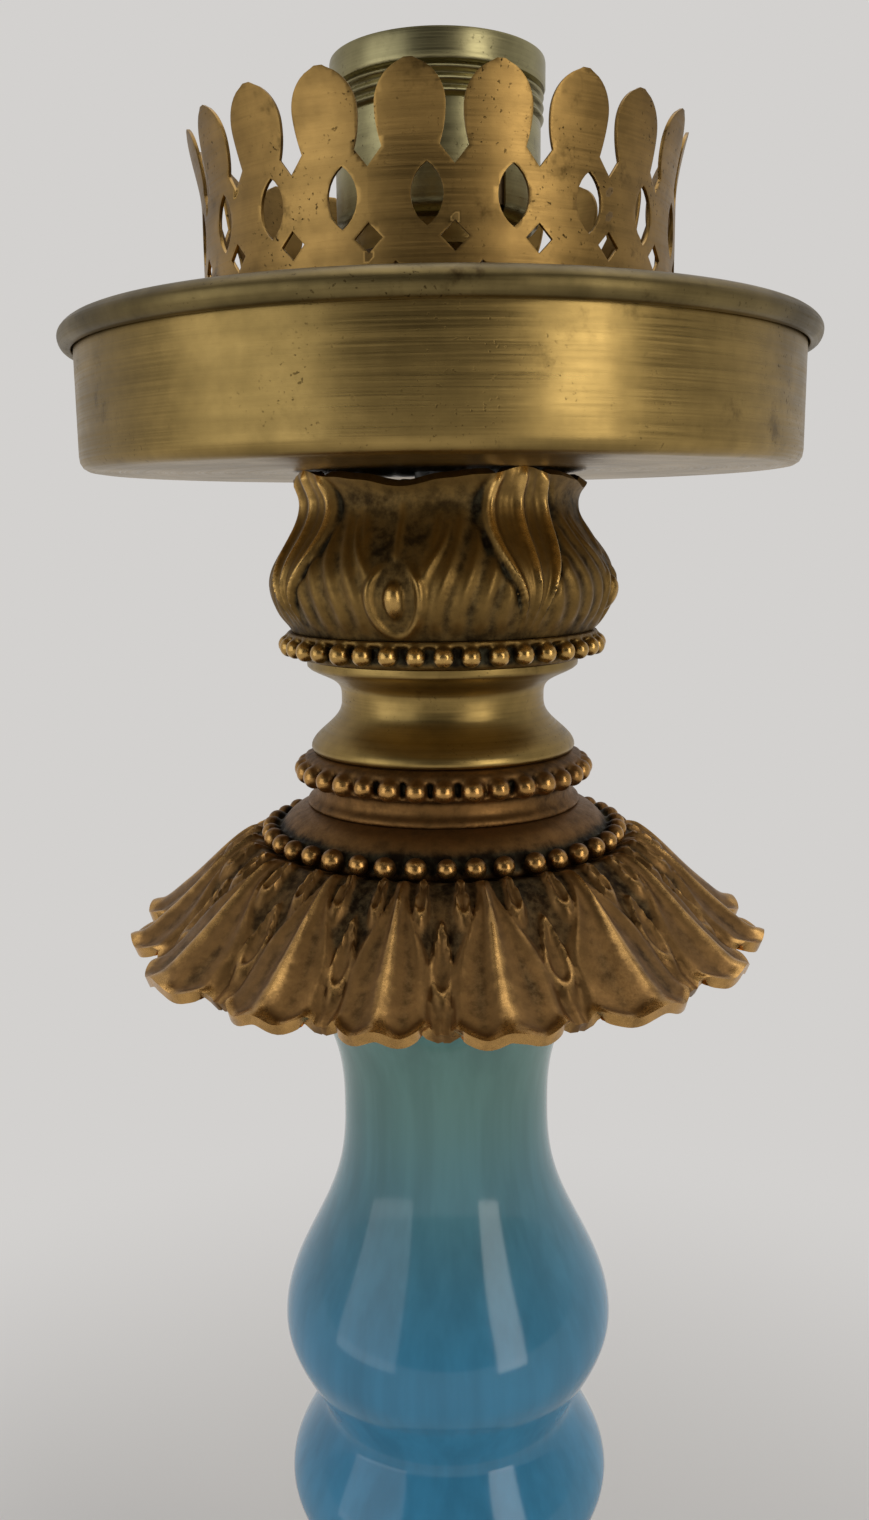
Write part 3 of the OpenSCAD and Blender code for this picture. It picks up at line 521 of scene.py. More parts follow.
class LAMP_OT_glass(bpy.types.Operator):
    """Turn the glass column: flared lips, necks, large bulbs and the middle bulb"""

    bl_idname = "lamp.glass"
    bl_label = "Glass column"

    def execute(self, context):
        bottom = low("glass_column")
        top = high("glass_column")
        lip, neck, bulb, crease, middle_bulb = 32.7, 20.75, 33.9, 26.3, 33.5
        flare, shoulder, belly, knop = 30.3, 46.7, 19.2, 17.1
        wall = 3.5

        def radius(x):
            if x <= flare:
                return neck + (lip - neck) * ((flare - x) / flare) ** 2.5
            if x <= flare + shoulder:
                share = ((x - flare) / shoulder) ** 1.32
                return neck + (bulb - neck) * (1 - math.cos(math.pi * share)) / 2
            if x <= flare + shoulder + belly:
                share = (flare + shoulder + belly - x) / belly
                return crease + (bulb - crease) * math.sin(math.pi / 2 * share ** 1.3)
            share = min(1, (x - flare - shoulder - belly) / knop)
            return crease + (middle_bulb - crease) * math.sin(math.pi / 2 * share ** 1.3)

        height = top - bottom
        rows = 170
        outer = []
        for step in range(rows + 1):
            z = height * step / rows
            outer.append((radius(min(z, height - z)), bottom + z))
        inner = [(r - wall, z) for r, z in reversed(outer)]
        piece = turn("blown_glass", outer + inner, 144)
        settle(piece, "glass_column", cased_glass(), 60)
        return {"FINISHED"}


# Beaded rings

def bead_ring(name, core, count, ring_radius, bead_radius, bead_height, seed, voxel=0.00038):
    """A cast ring: a turned core and a row of slightly uneven beads, grown together."""
    draw = np.random.default_rng(seed)
    body = turn(name + "_core", core, 120)
    deselect()
    bpy.ops.mesh.primitive_uv_sphere_add(segments=14, ring_count=9, radius=bead_radius * MM)
    bead = bpy.context.object
    copies = [body]
    jitter = sizes().bead_jitter * MM
    for index in range(count):
        angle = math.tau * index / count + draw.normal(0, jitter / (ring_radius * MM))
        copied = copy_of(bead)
        swell = 1 + draw.normal(0, 0.03)
        offset = Matrix.Translation((
            ring_radius * MM * math.sin(angle), -ring_radius * MM * math.cos(angle),
            bead_height * MM + draw.normal(0, jitter * 0.5)))
        copied.data.transform(offset @ Matrix.Scale(swell, 4))
        copies.append(copied)
    bpy.data.objects.remove(bead)
    ring = join(copies, name)
    apply(ring, "REMESH", mode="VOXEL", voxel_size=voxel, adaptivity=0.0)
    apply(ring, "SMOOTH", factor=0.5, iterations=3)
    return ring


def mark_beads(ring, core_radius, bead_radius, bead_height, plain=0.55):
    """Crests of the beads are rubbed, the grooves beside them are dark, the rest is plain."""
    points = points_of(ring) / MM
    radius = np.hypot(points[:, 0], points[:, 1])
    near = bump((points[:, 2] - bead_height) / (bead_radius * 1.7))
    stand = np.clip((radius - core_radius) / bead_radius, -0.4, 1.6)
    relief = plain * (1 - near) + near * (0.05 + 0.72 * np.clip(stand, 0, 1.4))
    mark(ring, "relief", np.clip(relief, 0, 1))


class LAMP_OT_rings(bpy.types.Operator):
    """Cast the beaded domes, the beaded collars and the ring of beads under the cup"""

    bl_idname = "lamp.rings"
    bl_label = "Beaded rings"

    def execute(self, context):
        tints = colours()
        red_bronze = cast_bronze("Red bronze", 0.35, srgb(122, 88, 48), srgb(182, 138, 78))
        brown_bronze = cast_bronze("Brown bronze", 0.5, tints.bronze, tints.rubbed)
        base = low("skirt_dome")
        flange = base + DOME_SEAT_UP
        crest = base + DOME_CREST_UP
        dome_core = rounded([
            (18, crest - 3, 0), (18, crest, 0), (26.4, crest, 0.7), (29.6, crest - 1.5, 2.2),
            (32.2, crest - 4.6, 2), (33.1, flange + 0.9, 0.8), (33.0, flange, 0.4),
            (30, flange, 0), (30, flange - 2.6, 0), (27.4, flange - 2.6, 0), (27.4, crest - 5, 1.5)])
        dome = bead_ring("dome_with_beads", dome_core, 40, 33.8, 2.0, flange + 2.5, 3)
        mark_beads(dome, 32.6, 2.0, flange + 2.5, 0.42)
        settle_pair(dome, "skirt_dome", "lower_dome", red_bronze, 0.4)

        seat = low("beaded_collar")
        collar_core = rounded([
            (19, seat, 0), (26.6, seat, 0.5), (26.5, seat + 1.0, 0.5), (25.2, seat + 2.0, 0.8),
            (25.3, seat + 4.6, 0.5), (27.0, seat + 5.0, 0.5), (27.0, seat + 5.5, 0.3),
            (25.8, seat + 6.0, 0.3), (25.8, seat + 7.9, 0.3), (26.9, seat + 8.4, 0.3),
            (26.7, seat + 9.3, 0.4), (24.9, seat + 10.2, 0.4), (19, seat + 10.2, 0)])
        collar = bead_ring("collar_with_beads", collar_core, 34, 26.9, 2.15, seat + 6.8, 5)
        mark_beads(collar, 26.0, 2.15, seat + 6.8, 0.4)
        settle_pair(collar, "beaded_collar", "lower_beaded_collar", red_bronze, 0.7)

        seat = low("cup_bead_ring")
        ring_core = rounded([
            (22, seat + 0.1, 0), (27.6, seat + 0.1, 0.3), (28.0, seat + 0.8, 0.3), (28.1, seat + 4.0, 0.3),
            (29.6, seat + 4.3, 0.3), (29.7, seat + 5.1, 0.3), (22, seat + 5.2, 0)])
        ring = bead_ring("ring_of_beads", ring_core, 38, 29.5, 1.85, seat + 2.5, 7)
        mark_beads(ring, 28.2, 1.85, seat + 2.5, 0.5)
        settle(ring, "cup_bead_ring", brown_bronze)
        return {"FINISHED"}


# Carved leaves

def carved_ring(name, columns, rows, surface, wall):
    """A carved ring: a grid wrapped round the pipe's line by a formula, then given a thickness.

    surface takes angles in degrees and shares from root to edge, and gives radius, height, relief."""
    deselect()
    bpy.ops.mesh.primitive_grid_add(x_subdivisions=columns, y_subdivisions=rows, size=2)
    piece = bpy.context.object
    piece.name = name
    flat = points_of(piece)
    angle = (flat[:, 0] + 1) * 180
    share = (flat[:, 1] + 1) / 2
    radius, height, relief = surface(angle, share)
    turn_by = np.radians(angle)
    place_points(piece, np.stack([
        radius * np.sin(turn_by), -radius * np.cos(turn_by), height], axis=1) * MM)
    mark(piece, "relief", np.clip(relief, 0, 1))
    close_up(piece)
    wall(piece)
    return piece


LEAVES = 16
LEAF_PITCH = 360 / LEAVES
LEAF_TURN = 12
LEAF_TIP_R = 62.0
LEAF_NOTCH_R = 55.2
LEAF_ROWS = 54


def leaf_surface(angle, share):
    """The skirt's leaves: sixteen drooping lobes, with tongues at their roots and drops between."""
    base = low("skirt_dome")
    seat = base + DOME_SEAT_UP
    depth = sizes().carving
    lean = -2.2 * np.cos(np.radians(4 * (angle - 8)))
    lobe = angle - LEAF_TURN - lean
    s = within(lobe, LEAF_PITCH)
    number = np.round(lobe / LEAF_PITCH) % LEAVES
    vary = np.sin(number * 2.4 + 1.3)
    bore, root, seat_share = 30.2, 36.4, 3 / LEAF_ROWS
    t = np.clip((share - seat_share) / (1 - seat_share), 0, 1)
    away = np.abs(s)

    main = np.clip(1 - np.abs(s / (0.43 + 0.02 * vary)) ** 2.3, 0, 1) ** 0.62
    small = np.clip(1 - np.abs((away - 0.5) / 0.15) ** 2, 0, 1) ** 0.7
    edge = LEAF_NOTCH_R + (6.6 + 0.5 * vary) * np.maximum(main, 0.34 * small)
    line = bezier(seat + 1.6, seat - 2.2, seat - 11.5, base + 3.9, t)
    reach_line = bezier(root, 45.5, 50.0, LEAF_TIP_R, t)
    squeeze = (edge - root) / (LEAF_TIP_R - root)
    radius = root + (reach_line - root) * squeeze

    width = 0.08 + 0.36 * smooth((t - 0.02) / 0.75)
    u = s / width
    body = 1 - smooth((np.abs(u) - 0.84) / 0.3)
    vein = ridge(u + 0.06 * vary, 0.17) * smooth(t / 0.15) * (1 - 0.55 * smooth((t - 0.75) / 0.25))
    vein = vein + 0.35 * ridge(u - 0.05, 0.3)
    rim = ridge(np.abs(u) - 0.84, 0.13) * smooth((t - 0.1) / 0.25)
    tip_rim = ridge(1 - t, 0.055) * 0.7
    trough = ridge(np.abs(u) - 0.46, 0.22) * smooth((t - 0.15) / 0.3)
    folds = 0.06 * np.cos(u * 15 + 3 * t) * body * smooth((t - 0.35) / 0.3)
    leaf = body * (0.5 + 0.75 * vein + 0.42 * rim + tip_rim - 0.3 * trough + folds)

    drop_t = (t - 0.33) / 0.5
    drop_width = 0.055 + 0.075 * smooth(drop_t)
    q = np.hypot((away - 0.5) / drop_width, (t - 0.6) / 0.25)
    drop = 1.15 * ridge(q - 0.86, 0.24) + 0.25 * (1 - smooth((q - 0.6) / 0.3))
    tongue_width = 0.06 + 0.035 * smooth((t - 0.05) / 0.25)
    p = np.hypot((away - 0.27) / tongue_width, (t - 0.16) / 0.2)
    tongue = 1.1 * ridge(p - 0.8, 0.26) + 0.35 * (1 - smooth((p - 0.55) / 0.3))
    small_rib = 0.55 * ridge(away - 0.5, 0.05) * smooth((t - 0.84) / 0.1)

    carved = np.maximum.reduce([leaf, drop * (q < 1.5), tongue * (p < 1.6), small_rib])
    carved = carved * smooth((t + 0.04) / 0.1)
    height = line + depth * (carved - 0.55)
    relief = 0.26 + 0.42 * np.clip(carved, 0, 1.4) + 0.2 * ridge(1 - t, 0.05)
    inward = np.clip(share / seat_share, 0, 1)
    radius = np.where(inward < 1, bore + (root - bore) * inward, radius)
    height = seat - 0.05 + (height - seat + 0.05) * smooth((inward - 0.5) / 0.5)
    return radius, height, relief


def skirt_wall(piece):
    apply(piece, "SMOOTH", factor=0.4, iterations=1)
    apply(piece, "SOLIDIFY", thickness=2.0 * MM, offset=-1.0, use_even_offset=False, use_rim=True)
    close_up(piece, 0.000005)


def cup_surface(angle, share):
    """The acanthus cup: four turned-out leaf tips, four scrolled buds and flutes between them."""
    bottom = low("leaf_cup")
    height_all = high("leaf_cup") - bottom
    t = share
    away = within(angle + 15, 90) * 90
    side = np.abs(away)
    leaf_side = 45 - side
    lip = height_all - 3.2 * (1 - ridge(leaf_side, 13)) * (0.7 + 0.3 * np.cos(np.radians(8 * away)))
    lip = lip - 0.5 * ridge(side - 20, 6)
    z = lip * t
    zr = z / height_all

    belly = np.where(zr < 0.3, 28.9 + 3.6 * np.sin(np.pi / 2 * np.clip(zr / 0.3, 0, 1)),
                     26.2 + 6.3 * (0.5 + 0.5 * np.cos(np.pi * np.clip((zr - 0.3) / 0.5, 0, 1))))
    radius = np.where(zr > 0.8, 26.2 + 1.9 * smooth((zr - 0.8) / 0.2), belly)

    bend = 10 * smooth((zr - 0.1) / 0.7) - 3
    flow = side - bend
    flutes = 0.5 + 0.5 * np.cos(np.radians(flow * 48))
    flute_here = smooth(zr / 0.12) * (1 - smooth((zr - 0.62) / 0.16)) * smooth((side - 7) / 5)
    flute_here = flute_here * (1 - 0.6 * ridge(leaf_side, 7))
    carved = 0.55 * flutes * flute_here

    bud_q = np.hypot(away / 3.3, (zr - 0.24) / 0.115)
    bud = 1.5 * np.sqrt(np.clip(1 - bud_q ** 2, 0, 1))
    pit = ridge(bud_q - 1.45, 0.42)
    loop_q = np.hypot(away / 8.6, (zr - 0.25) / 0.23)
    loop = 0.95 * ridge(loop_q - 0.95, 0.2) * (1 - smooth((zr - 0.34) / 0.16))
    arm = 0.8 * ridge(side - 8 - 9 * smooth((zr - 0.3) / 0.4), 2.1) * bump((zr - 0.5) / 0.3)
    stem = 0.6 * ridge(away, 1.5) * bump((zr - 0.6) / 0.26)
    carved = np.maximum.reduce([carved, bud, loop, arm, stem]) - 0.9 * pit * (bud_q > 1)

    leaf_width = 4 + 11 * bump((zr - 0.72) / 0.62)
    v = leaf_side / leaf_width
    inside = 1 - smooth((v - 0.86) / 0.22)
    leaf = inside * (0.75 + 0.45 * ridge(v, 0.12) + 0.5 * ridge(v - 0.86, 0.16)
                     - 0.35 * ridge(v - 0.45, 0.2) + 0.14 * np.cos(v * 16))
    leaf = leaf * smooth(zr / 0.3)
    shadow = 0.5 * ridge(v - 1.12, 0.14) * smooth(zr / 0.3) * (1 - smooth((zr - 0.85) / 0.1))
    carved = np.maximum(carved, leaf) - shadow

    depth = sizes().carving * 0.75
    fade = smooth((1.02 - t) / 0.08) * smooth((t + 0.05) / 0.1)
    radius = radius + depth * (carved - 0.35) * fade
    relief = 0.3 + 0.42 * np.clip(carved, -0.5, 1.5) + 0.12 * smooth((zr - 0.8) / 0.12)
    return radius, bottom + z, relief


def cup_wall(piece):
    apply(piece, "SMOOTH", factor=0.4, iterations=1)
    apply(piece, "SOLIDIFY", thickness=1.9 * MM, offset=-1.0, use_even_offset=False, use_rim=True)
    close_up(piece, 0.000005)


class LAMP_OT_leaves(bpy.types.Operator):
    """Carve the two leaf skirts and the leaf cup"""

    bl_idname = "lamp.leaves"
    bl_label = "Carved leaves"

    def execute(self, context):
        tints = colours()
        skirt = carved_ring("carved_leaves", LEAVES * 38, LEAF_ROWS, leaf_surface, skirt_wall)
        leaf_bronze = cast_bronze("Leaf bronze", 0.6, srgb(126, 94, 54), srgb(190, 148, 88))
        settle_pair(skirt, "leaf_skirt", "lower_leaf_skirt", leaf_bronze, 0.0, 60)
        cup_bronze = cast_bronze("Cup bronze", 0.45, tints.bronze, tints.rubbed)
        cup = carved_ring("carved_cup", 560, 72, cup_surface, cup_wall)
        settle(cup, "leaf_cup", cup_bronze, 60)
        return {"FINISHED"}


# Spun parts

class LAMP_OT_spun(bpy.types.Operator):
    """Spin the drum, its lid, the neck spool, the lower cap and the base"""

    bl_idname = "lamp.spun"
    bl_label = "Spun parts"

    def execute(self, context):
        drum_brass = spun_brass("Drum brass", 0.55, 0.7, 0.3)
        rim_brass = spun_brass("Rim brass", 0.9, 0.9, 0.36, srgb(120, 104, 66), srgb(84, 72, 44))
        spool_brass = spun_brass("Spool brass", 0.6, 0.5, 0.33)
        z = low("drum_pan")
        top = high("drum_pan")
        pan = turn("spun_drum", rounded([
            (HOLE_R, z, 0), (65.5, z, 2.6), (65.5, top, 0), (64.7, top, 0),
            (64.7, z + 0.8, 2), (HOLE_R, z + 0.8, 0)]), 200)
        settle(pan, "drum_pan", drum_brass)

        z = high("drum_lid")
        lid = turn("spun_lid", rounded([
            (HOLE_R, z - 0.8, 0), (HOLE_R, z, 0), (30, z, 0), (66.0, z, 1.6), (68.0, z - 1.6, 1.5),
            (68.15, z - 3.2, 1.2), (67.3, z - 4.7, 0.8), (65.8, z - 4.8, 0.4), (65.8, z - 4.1, 0.3),
            (67.0, z - 3.9, 0.6), (67.3, z - 2.4, 0.8), (65.7, z - 0.8, 0.8)]), 200)
        settle(lid, "drum_lid", rim_brass)

        z = low("neck_spool")
        tall = high("neck_spool") - z
        waist, foot_r, waist_r, top_r = tall * 0.55, 25.5, 19.5, 26.0
        outer = [(20, z), (24.9, z), (25.2, z + 0.2)]
        for step in range(33):
            x = 0.8 + (tall - 1.5 - 0.8) * step / 32
            if x < waist:
                share = ((waist - x) / (waist - 0.8)) ** 1.25
                r = waist_r + (foot_r - waist_r) * (1 - math.cos(math.pi * share)) / 2
            else:
                share = min(1, (x - waist) / (tall - 1.3 - waist)) ** 2
                r = waist_r + (top_r - waist_r) * (1 - math.cos(math.pi * share)) / 2
            outer.append((r, z + x))
        outer += [(top_r, z + tall - 1.1), (top_r, z + tall - 0.2), (25.8, z + tall)]
        outer += [(15, z + tall), (15, z + tall - 1.5)]
        spool = turn("turned_spool", outer + [(18.0, z + waist), (20, z + 1)], 160)
        settle(spool, "neck_spool", spool_brass)

        z = low("lower_vase_cap")
        cap = turn("spun_vase_cap", rounded([
            (HOLE_R, z, 0), (33.9, z, 1), (34.9, z + 1.4, 0.8), (34.9, z + 5.8, 0.6),
            (35.9, z + 6.9, 0.5), (35.2, z + 7.6, 0.4), (33.8, z + 6.5, 0.6), (33.7, z + 1.5, 0.4),
            (HOLE_R, z + 1.5, 0)]), 160)
        settle(cap, "lower_vase_cap", spool_brass)

        z = low("base_casting")
        base = turn("cast_base", self.base_outline(z), 180)
        points = points_of(base) / MM
        radius = np.hypot(points[:, 0], points[:, 1])
        step_line = ridge(radius - 71.5, 1.2) * (points[:, 2] < z + 15)
        mark(base, "relief", 0.5 - 0.4 * step_line + 0.35 * ridge(points[:, 2] - z - 11.6, 0.8))
        settle(base, "base_casting", cast_bronze("Base bronze", 0.5))
        return {"FINISHED"}

    def base_outline(self, z):
        cove = []
        for step in range(15):
            t = step / 14
            cove.append((bezier(71.0, 56.0, 51.0, 46.0, t), z + bezier(13.0, 13.5, 21.0, 24.0, t)))
        inner = [(r - 1.5, h - 3) for r, h in reversed(cove)]
        wall = rounded([(76, z, 0.3), (76, z + 11.4, 1.1), (74.4, z + 12, 0.4), (71.6, z + 12, 0.4)])
        return wall + cove + [(HOLE_R, z + 24), (HOLE_R, z + 21)] + inner + [(73, z + 9), (73, z)]


# Pierced gallery

STAVES = 20
CROWN_R = 42.3
CROWN_TALL = 32.6
PRONG_ROOT = 19.7


def cutter(outline, name):
    """A prism through the flat sheet, from an outline of (x, z) points."""
    deselect()
    bpy.ops.mesh.primitive_circle_add(vertices=len(outline), radius=1, fill_type="NGON")
    piece = bpy.context.object
    piece.name = name
    place_points(piece, [(x * MM, -3 * MM, z * MM) for x, z in outline])
    bpy.ops.object.mode_set(mode="EDIT")
    bpy.ops.mesh.select_all(action="SELECT")
    bpy.ops.mesh.extrude_region_move(TRANSFORM_OT_translate={"value": (0, 6 * MM, 0)})
    bpy.ops.mesh.select_all(action="SELECT")
    bpy.ops.mesh.normals_make_consistent(inside=False)
    bpy.ops.object.mode_set(mode="OBJECT")
    return piece


def cut(piece, outline):
    tool = cutter(outline, "tool")
    apply(piece, "BOOLEAN", operation="DIFFERENCE", object=tool, solver="EXACT")
    bpy.data.objects.remove(tool)


class LAMP_OT_crown(bpy.types.Operator):
    """Pierce one flat stave of the crown, then bend and set twenty of them in a ring"""

    bl_idname = "lamp.crown"
    bl_label = "Pierced crown"

    def execute(self, context):
        pitch = math.tau * CROWN_R / STAVES
        stave = self.flat_stave(pitch)
        draw = np.random.default_rng(11)
        flat = points_of(stave) / MM
        copies = []
        jitter = sizes().prong_jitter
        base = low("crown_gallery")
        for number in range(STAVES):
            copied = copy_of(stave)
            lean = 1.9 + draw.normal(0, jitter)
            twist = draw.normal(0, jitter * 0.5)
            curl = draw.normal(0.3, 0.3)
            z = flat[:, 2]
            rise = np.clip((z - PRONG_ROOT) / (CROWN_TALL - PRONG_ROOT), 0, 1)
            away = CROWN_R + flat[:, 1] + lean * rise ** 2 + curl * np.sin(np.pi * rise) * rise
            away = away + twist * rise * flat[:, 0] / 5
            angle = math.radians(-6 + 360 / STAVES * number) + flat[:, 0] / CROWN_R
            place_points(copied, np.stack([
                away * np.sin(angle), -away * np.cos(angle), z + base], axis=1) * MM)
            copies.append(copied)
        bpy.data.objects.remove(stave)
        flange = turn("crown_flange", [
            (34, base), (42.0, base), (42.0, base + 0.6), (34, base + 0.6)], 120)
        crown = join(copies + [flange], "pierced_crown")
        close_up(crown, 0.00001)
        apply(crown, "BEVEL", width=0.1 * MM, segments=2,
              limit_method="ANGLE", angle_limit=math.radians(50))
        crown_brass = spun_brass("Gallery brass", 0.75, 1.0, 0.36, srgb(158, 126, 72), srgb(110, 86, 48))
        settle(crown, "crown_gallery", crown_brass, 35)
        return {"FINISHED"}

    def flat_stave(self, pitch):
        """One stave of sheet, flat, with its notch sides, window, diamonds and bottom holes cut."""
        deselect()
        bpy.ops.mesh.primitive_cube_add(size=1)
        stave = bpy.context.object
        sheet = sizes().sheet
        points = points_of(stave)
        place_points(stave, np.stack([
            points[:, 0] * pitch, points[:, 1] * sheet - sheet / 2, (points[:, 2] + 0.5) * CROWN_TALL],
            axis=1) * MM)
        bpy.ops.object.mode_set(mode="EDIT")
        for count, axis in ((14, 0), (36, 2)):
            low_end = -pitch / 2 if axis == 0 else 0
            span = pitch if axis == 0 else CROWN_TALL
            for step in range(1, count):
                place = [0, 0, 0]
                normal = [0, 0, 0]
                place[axis] = (low_end + span * step / count) * MM
                normal[axis] = 1
                bpy.ops.mesh.select_all(action="SELECT")
                bpy.ops.mesh.bisect(plane_co=place, plane_no=normal)
        bpy.ops.object.mode_set(mode="OBJECT")
        half = pitch / 2
        notch, stem, widest, above = 18.4, 21.1, 26.4, 34.0
        prong_wide, tip_tall = 5.3, 6.2

        def prong_half(z):
            if z < widest:
                return prong_wide - 0.9 * ((widest - z) / 5.3) ** 2
            r = (tip_tall * tip_tall + prong_wide * prong_wide) / (2 * prong_wide)
            return max(0.12, math.sqrt(max(0, r * r - (z - widest) ** 2)) - r + prong_wide)

        side = [(prong_half(z), z) for z in np.linspace(stem, above, 24)]
        right = [(half + 1, notch - 1.1), (half, notch)] + side + [(half + 1, above)]
        cut(stave, right)
        cut(stave, [(-x, z) for x, z in reversed(right)])
        window = []
        window_up, window_tall, window_wide = 14.2, 9.2, 5.0
        r = (window_tall ** 2 + window_wide ** 2) / (4 * window_wide)
        shift = math.radians(3.3) * CROWN_R
        arc = math.asin(window_tall / 2 / r)
        for sign in (1, -1):
            for step in range(10):
                a = -arc + 2 * arc * step / 10
                x = shift + sign * (r * math.cos(a) - r + window_wide / 2)
                window.append((x, window_up + sign * r * math.sin(a)))
        cut(stave, window)
        for x, z, reach in ((half, 8.2, 2.25), (-half, 8.2, 2.25), (-shift, 3.1, 1.7)):
            cut(stave, [(x + reach, z), (x, z + reach), (x - reach, z), (x, z - reach)])
        return stave


# Socket

class LAMP_OT_socket(bpy.types.Operator):
    """Roll the socket shell with its ribs and slits"""

    bl_idname = "lamp.socket"
    bl_label = "Socket"

    def execute(self, context):
        tints = colours()
        z = low("socket_shell")
        top = high("socket_shell")
        band = top - 5
        ribs = band - 5.55
        wall_r, round_up = 18.4, 2.6
        outer = [(15.9, z), (16.6, z + 0.1), (17.4, z + 0.5), (18.0, z + 1.2), (18.35, z + 2.0)]
        outer += [(wall_r, z + round_up + (ribs - z - round_up) * step / 8) for step in range(9)]
        for step in range(1, 31):
            outer.append((18.55 - 0.38 * math.cos(math.tau * step / 10), ribs + 5.55 * step / 30))
        outer += [(18.5, band), (19.0, band + 0.15), (19.2, band + 0.5)]
        outer += [(19.2, band + 1 + 3.6 * step / 4) for step in range(5)] + [(19.12, top - 0.05)]
        inner = [(r - 0.5, h) for r, h in reversed(outer)]
        shell = turn("rolled_shell", outer + inner, 180)
        for turned in (36, 216):
            deselect()
            bpy.ops.mesh.primitive_cube_add(size=1)
            tool = bpy.context.object
            tool.data.transform(
                Matrix.Rotation(math.radians(turned - 90), 4, "Z")
                @ Matrix.Translation((18 * MM, 0, (z + 6.5) * MM))
                @ Matrix.Diagonal((8 * MM, 1.4 * MM, 15 * MM, 1)))
            apply(shell, "BOOLEAN", operation="DIFFERENCE", object=tool, solver="EXACT")
            bpy.data.objects.remove(tool)
        socket_brass = spun_brass("Socket brass", 0.45, 0.8, 0.3, tints.plated, srgb(132, 122, 86))
        settle(shell, "socket_shell", socket_brass, 30)
        return {"FINISHED"}


class LAMP_OT_hidden(bpy.types.Operator):
    """Give the small and hidden parts, whose shapes are right, their finishes"""

    bl_idname = "lamp.hidden"
    bl_label = "Small and hidden parts"

    def execute(self, context):
        tints = colours()
        steel = plain_finish("Zinc plate", srgb(150, 150, 148), 1.0, 0.35, 900.0, 0.00004)
        finishes = {
            plain_finish("Felt", srgb(60, 74, 52), 0.0, 0.95, 2200.0, 0.0003): ["base_felt"],
            plain_finish("Bushing", srgb(30, 29, 28), 0.0, 0.5, 1200.0, 0.00003): ["cord_bushing"],
            plain_finish("Iron", srgb(70, 68, 66), 0.7, 0.7, 700.0, 0.0003): ["base_weight"],
            steel: ["bottom_washer", "bottom_nut", "threaded_pipe", "top_washer", "top_nut",
                    "hub_set_screw", "terminal_screws", "contact_spring"],
            plain_finish("Gasket", srgb(48, 46, 44), 0.0, 0.8, 1500.0, 0.0001): [
                "lower_gasket", "upper_gasket"],
            plain_finish("Fibre liner", srgb(150, 122, 84), 0.0, 0.85, 1300.0, 0.0001): [
                "insulating_liner"],
            plain_finish("Porcelain", srgb(226, 220, 206), 0.0, 0.35, 600.0, 0.00004): ["socket_insulator"],
            plain_finish("Rolled aluminium", srgb(176, 176, 176), 1.0, 0.34, 900.0, 0.00003): [
                "screw_shell"],
            plain_finish("Contact brass", srgb(206, 172, 92), 1.0, 0.25, 800.0, 0.00002): [
                "contact_plunger"],
            spun_brass("Fitting brass", 0.6, 0.6, 0.34, tints.gold): [
                "upper_vase_cap", "gallery_rivets", "socket_cap"],
        }
        for finish, names in finishes.items():
            for name in names:
                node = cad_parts[name]
                node.data.materials.clear()
                node.data.materials.append(finish)
        return {"FINISHED"}


# Studio

def soft_light(name, place, aim, wide, tall, power, tint):
    data = bpy.data.lights.new(name, "AREA")
    data.shape = "RECTANGLE"
    data.size = wide
    data.size_y = tall
    data.energy = power
    data.color = tint
    light = bpy.data.objects.new(name, data)
    bpy.context.scene.collection.objects.link(light)
    direction = Vector(place) - Vector(aim)
    light.matrix_world = Matrix.Translation(place) @ direction.to_track_quat("Z", "Y").to_matrix().to_4x4()
    return light


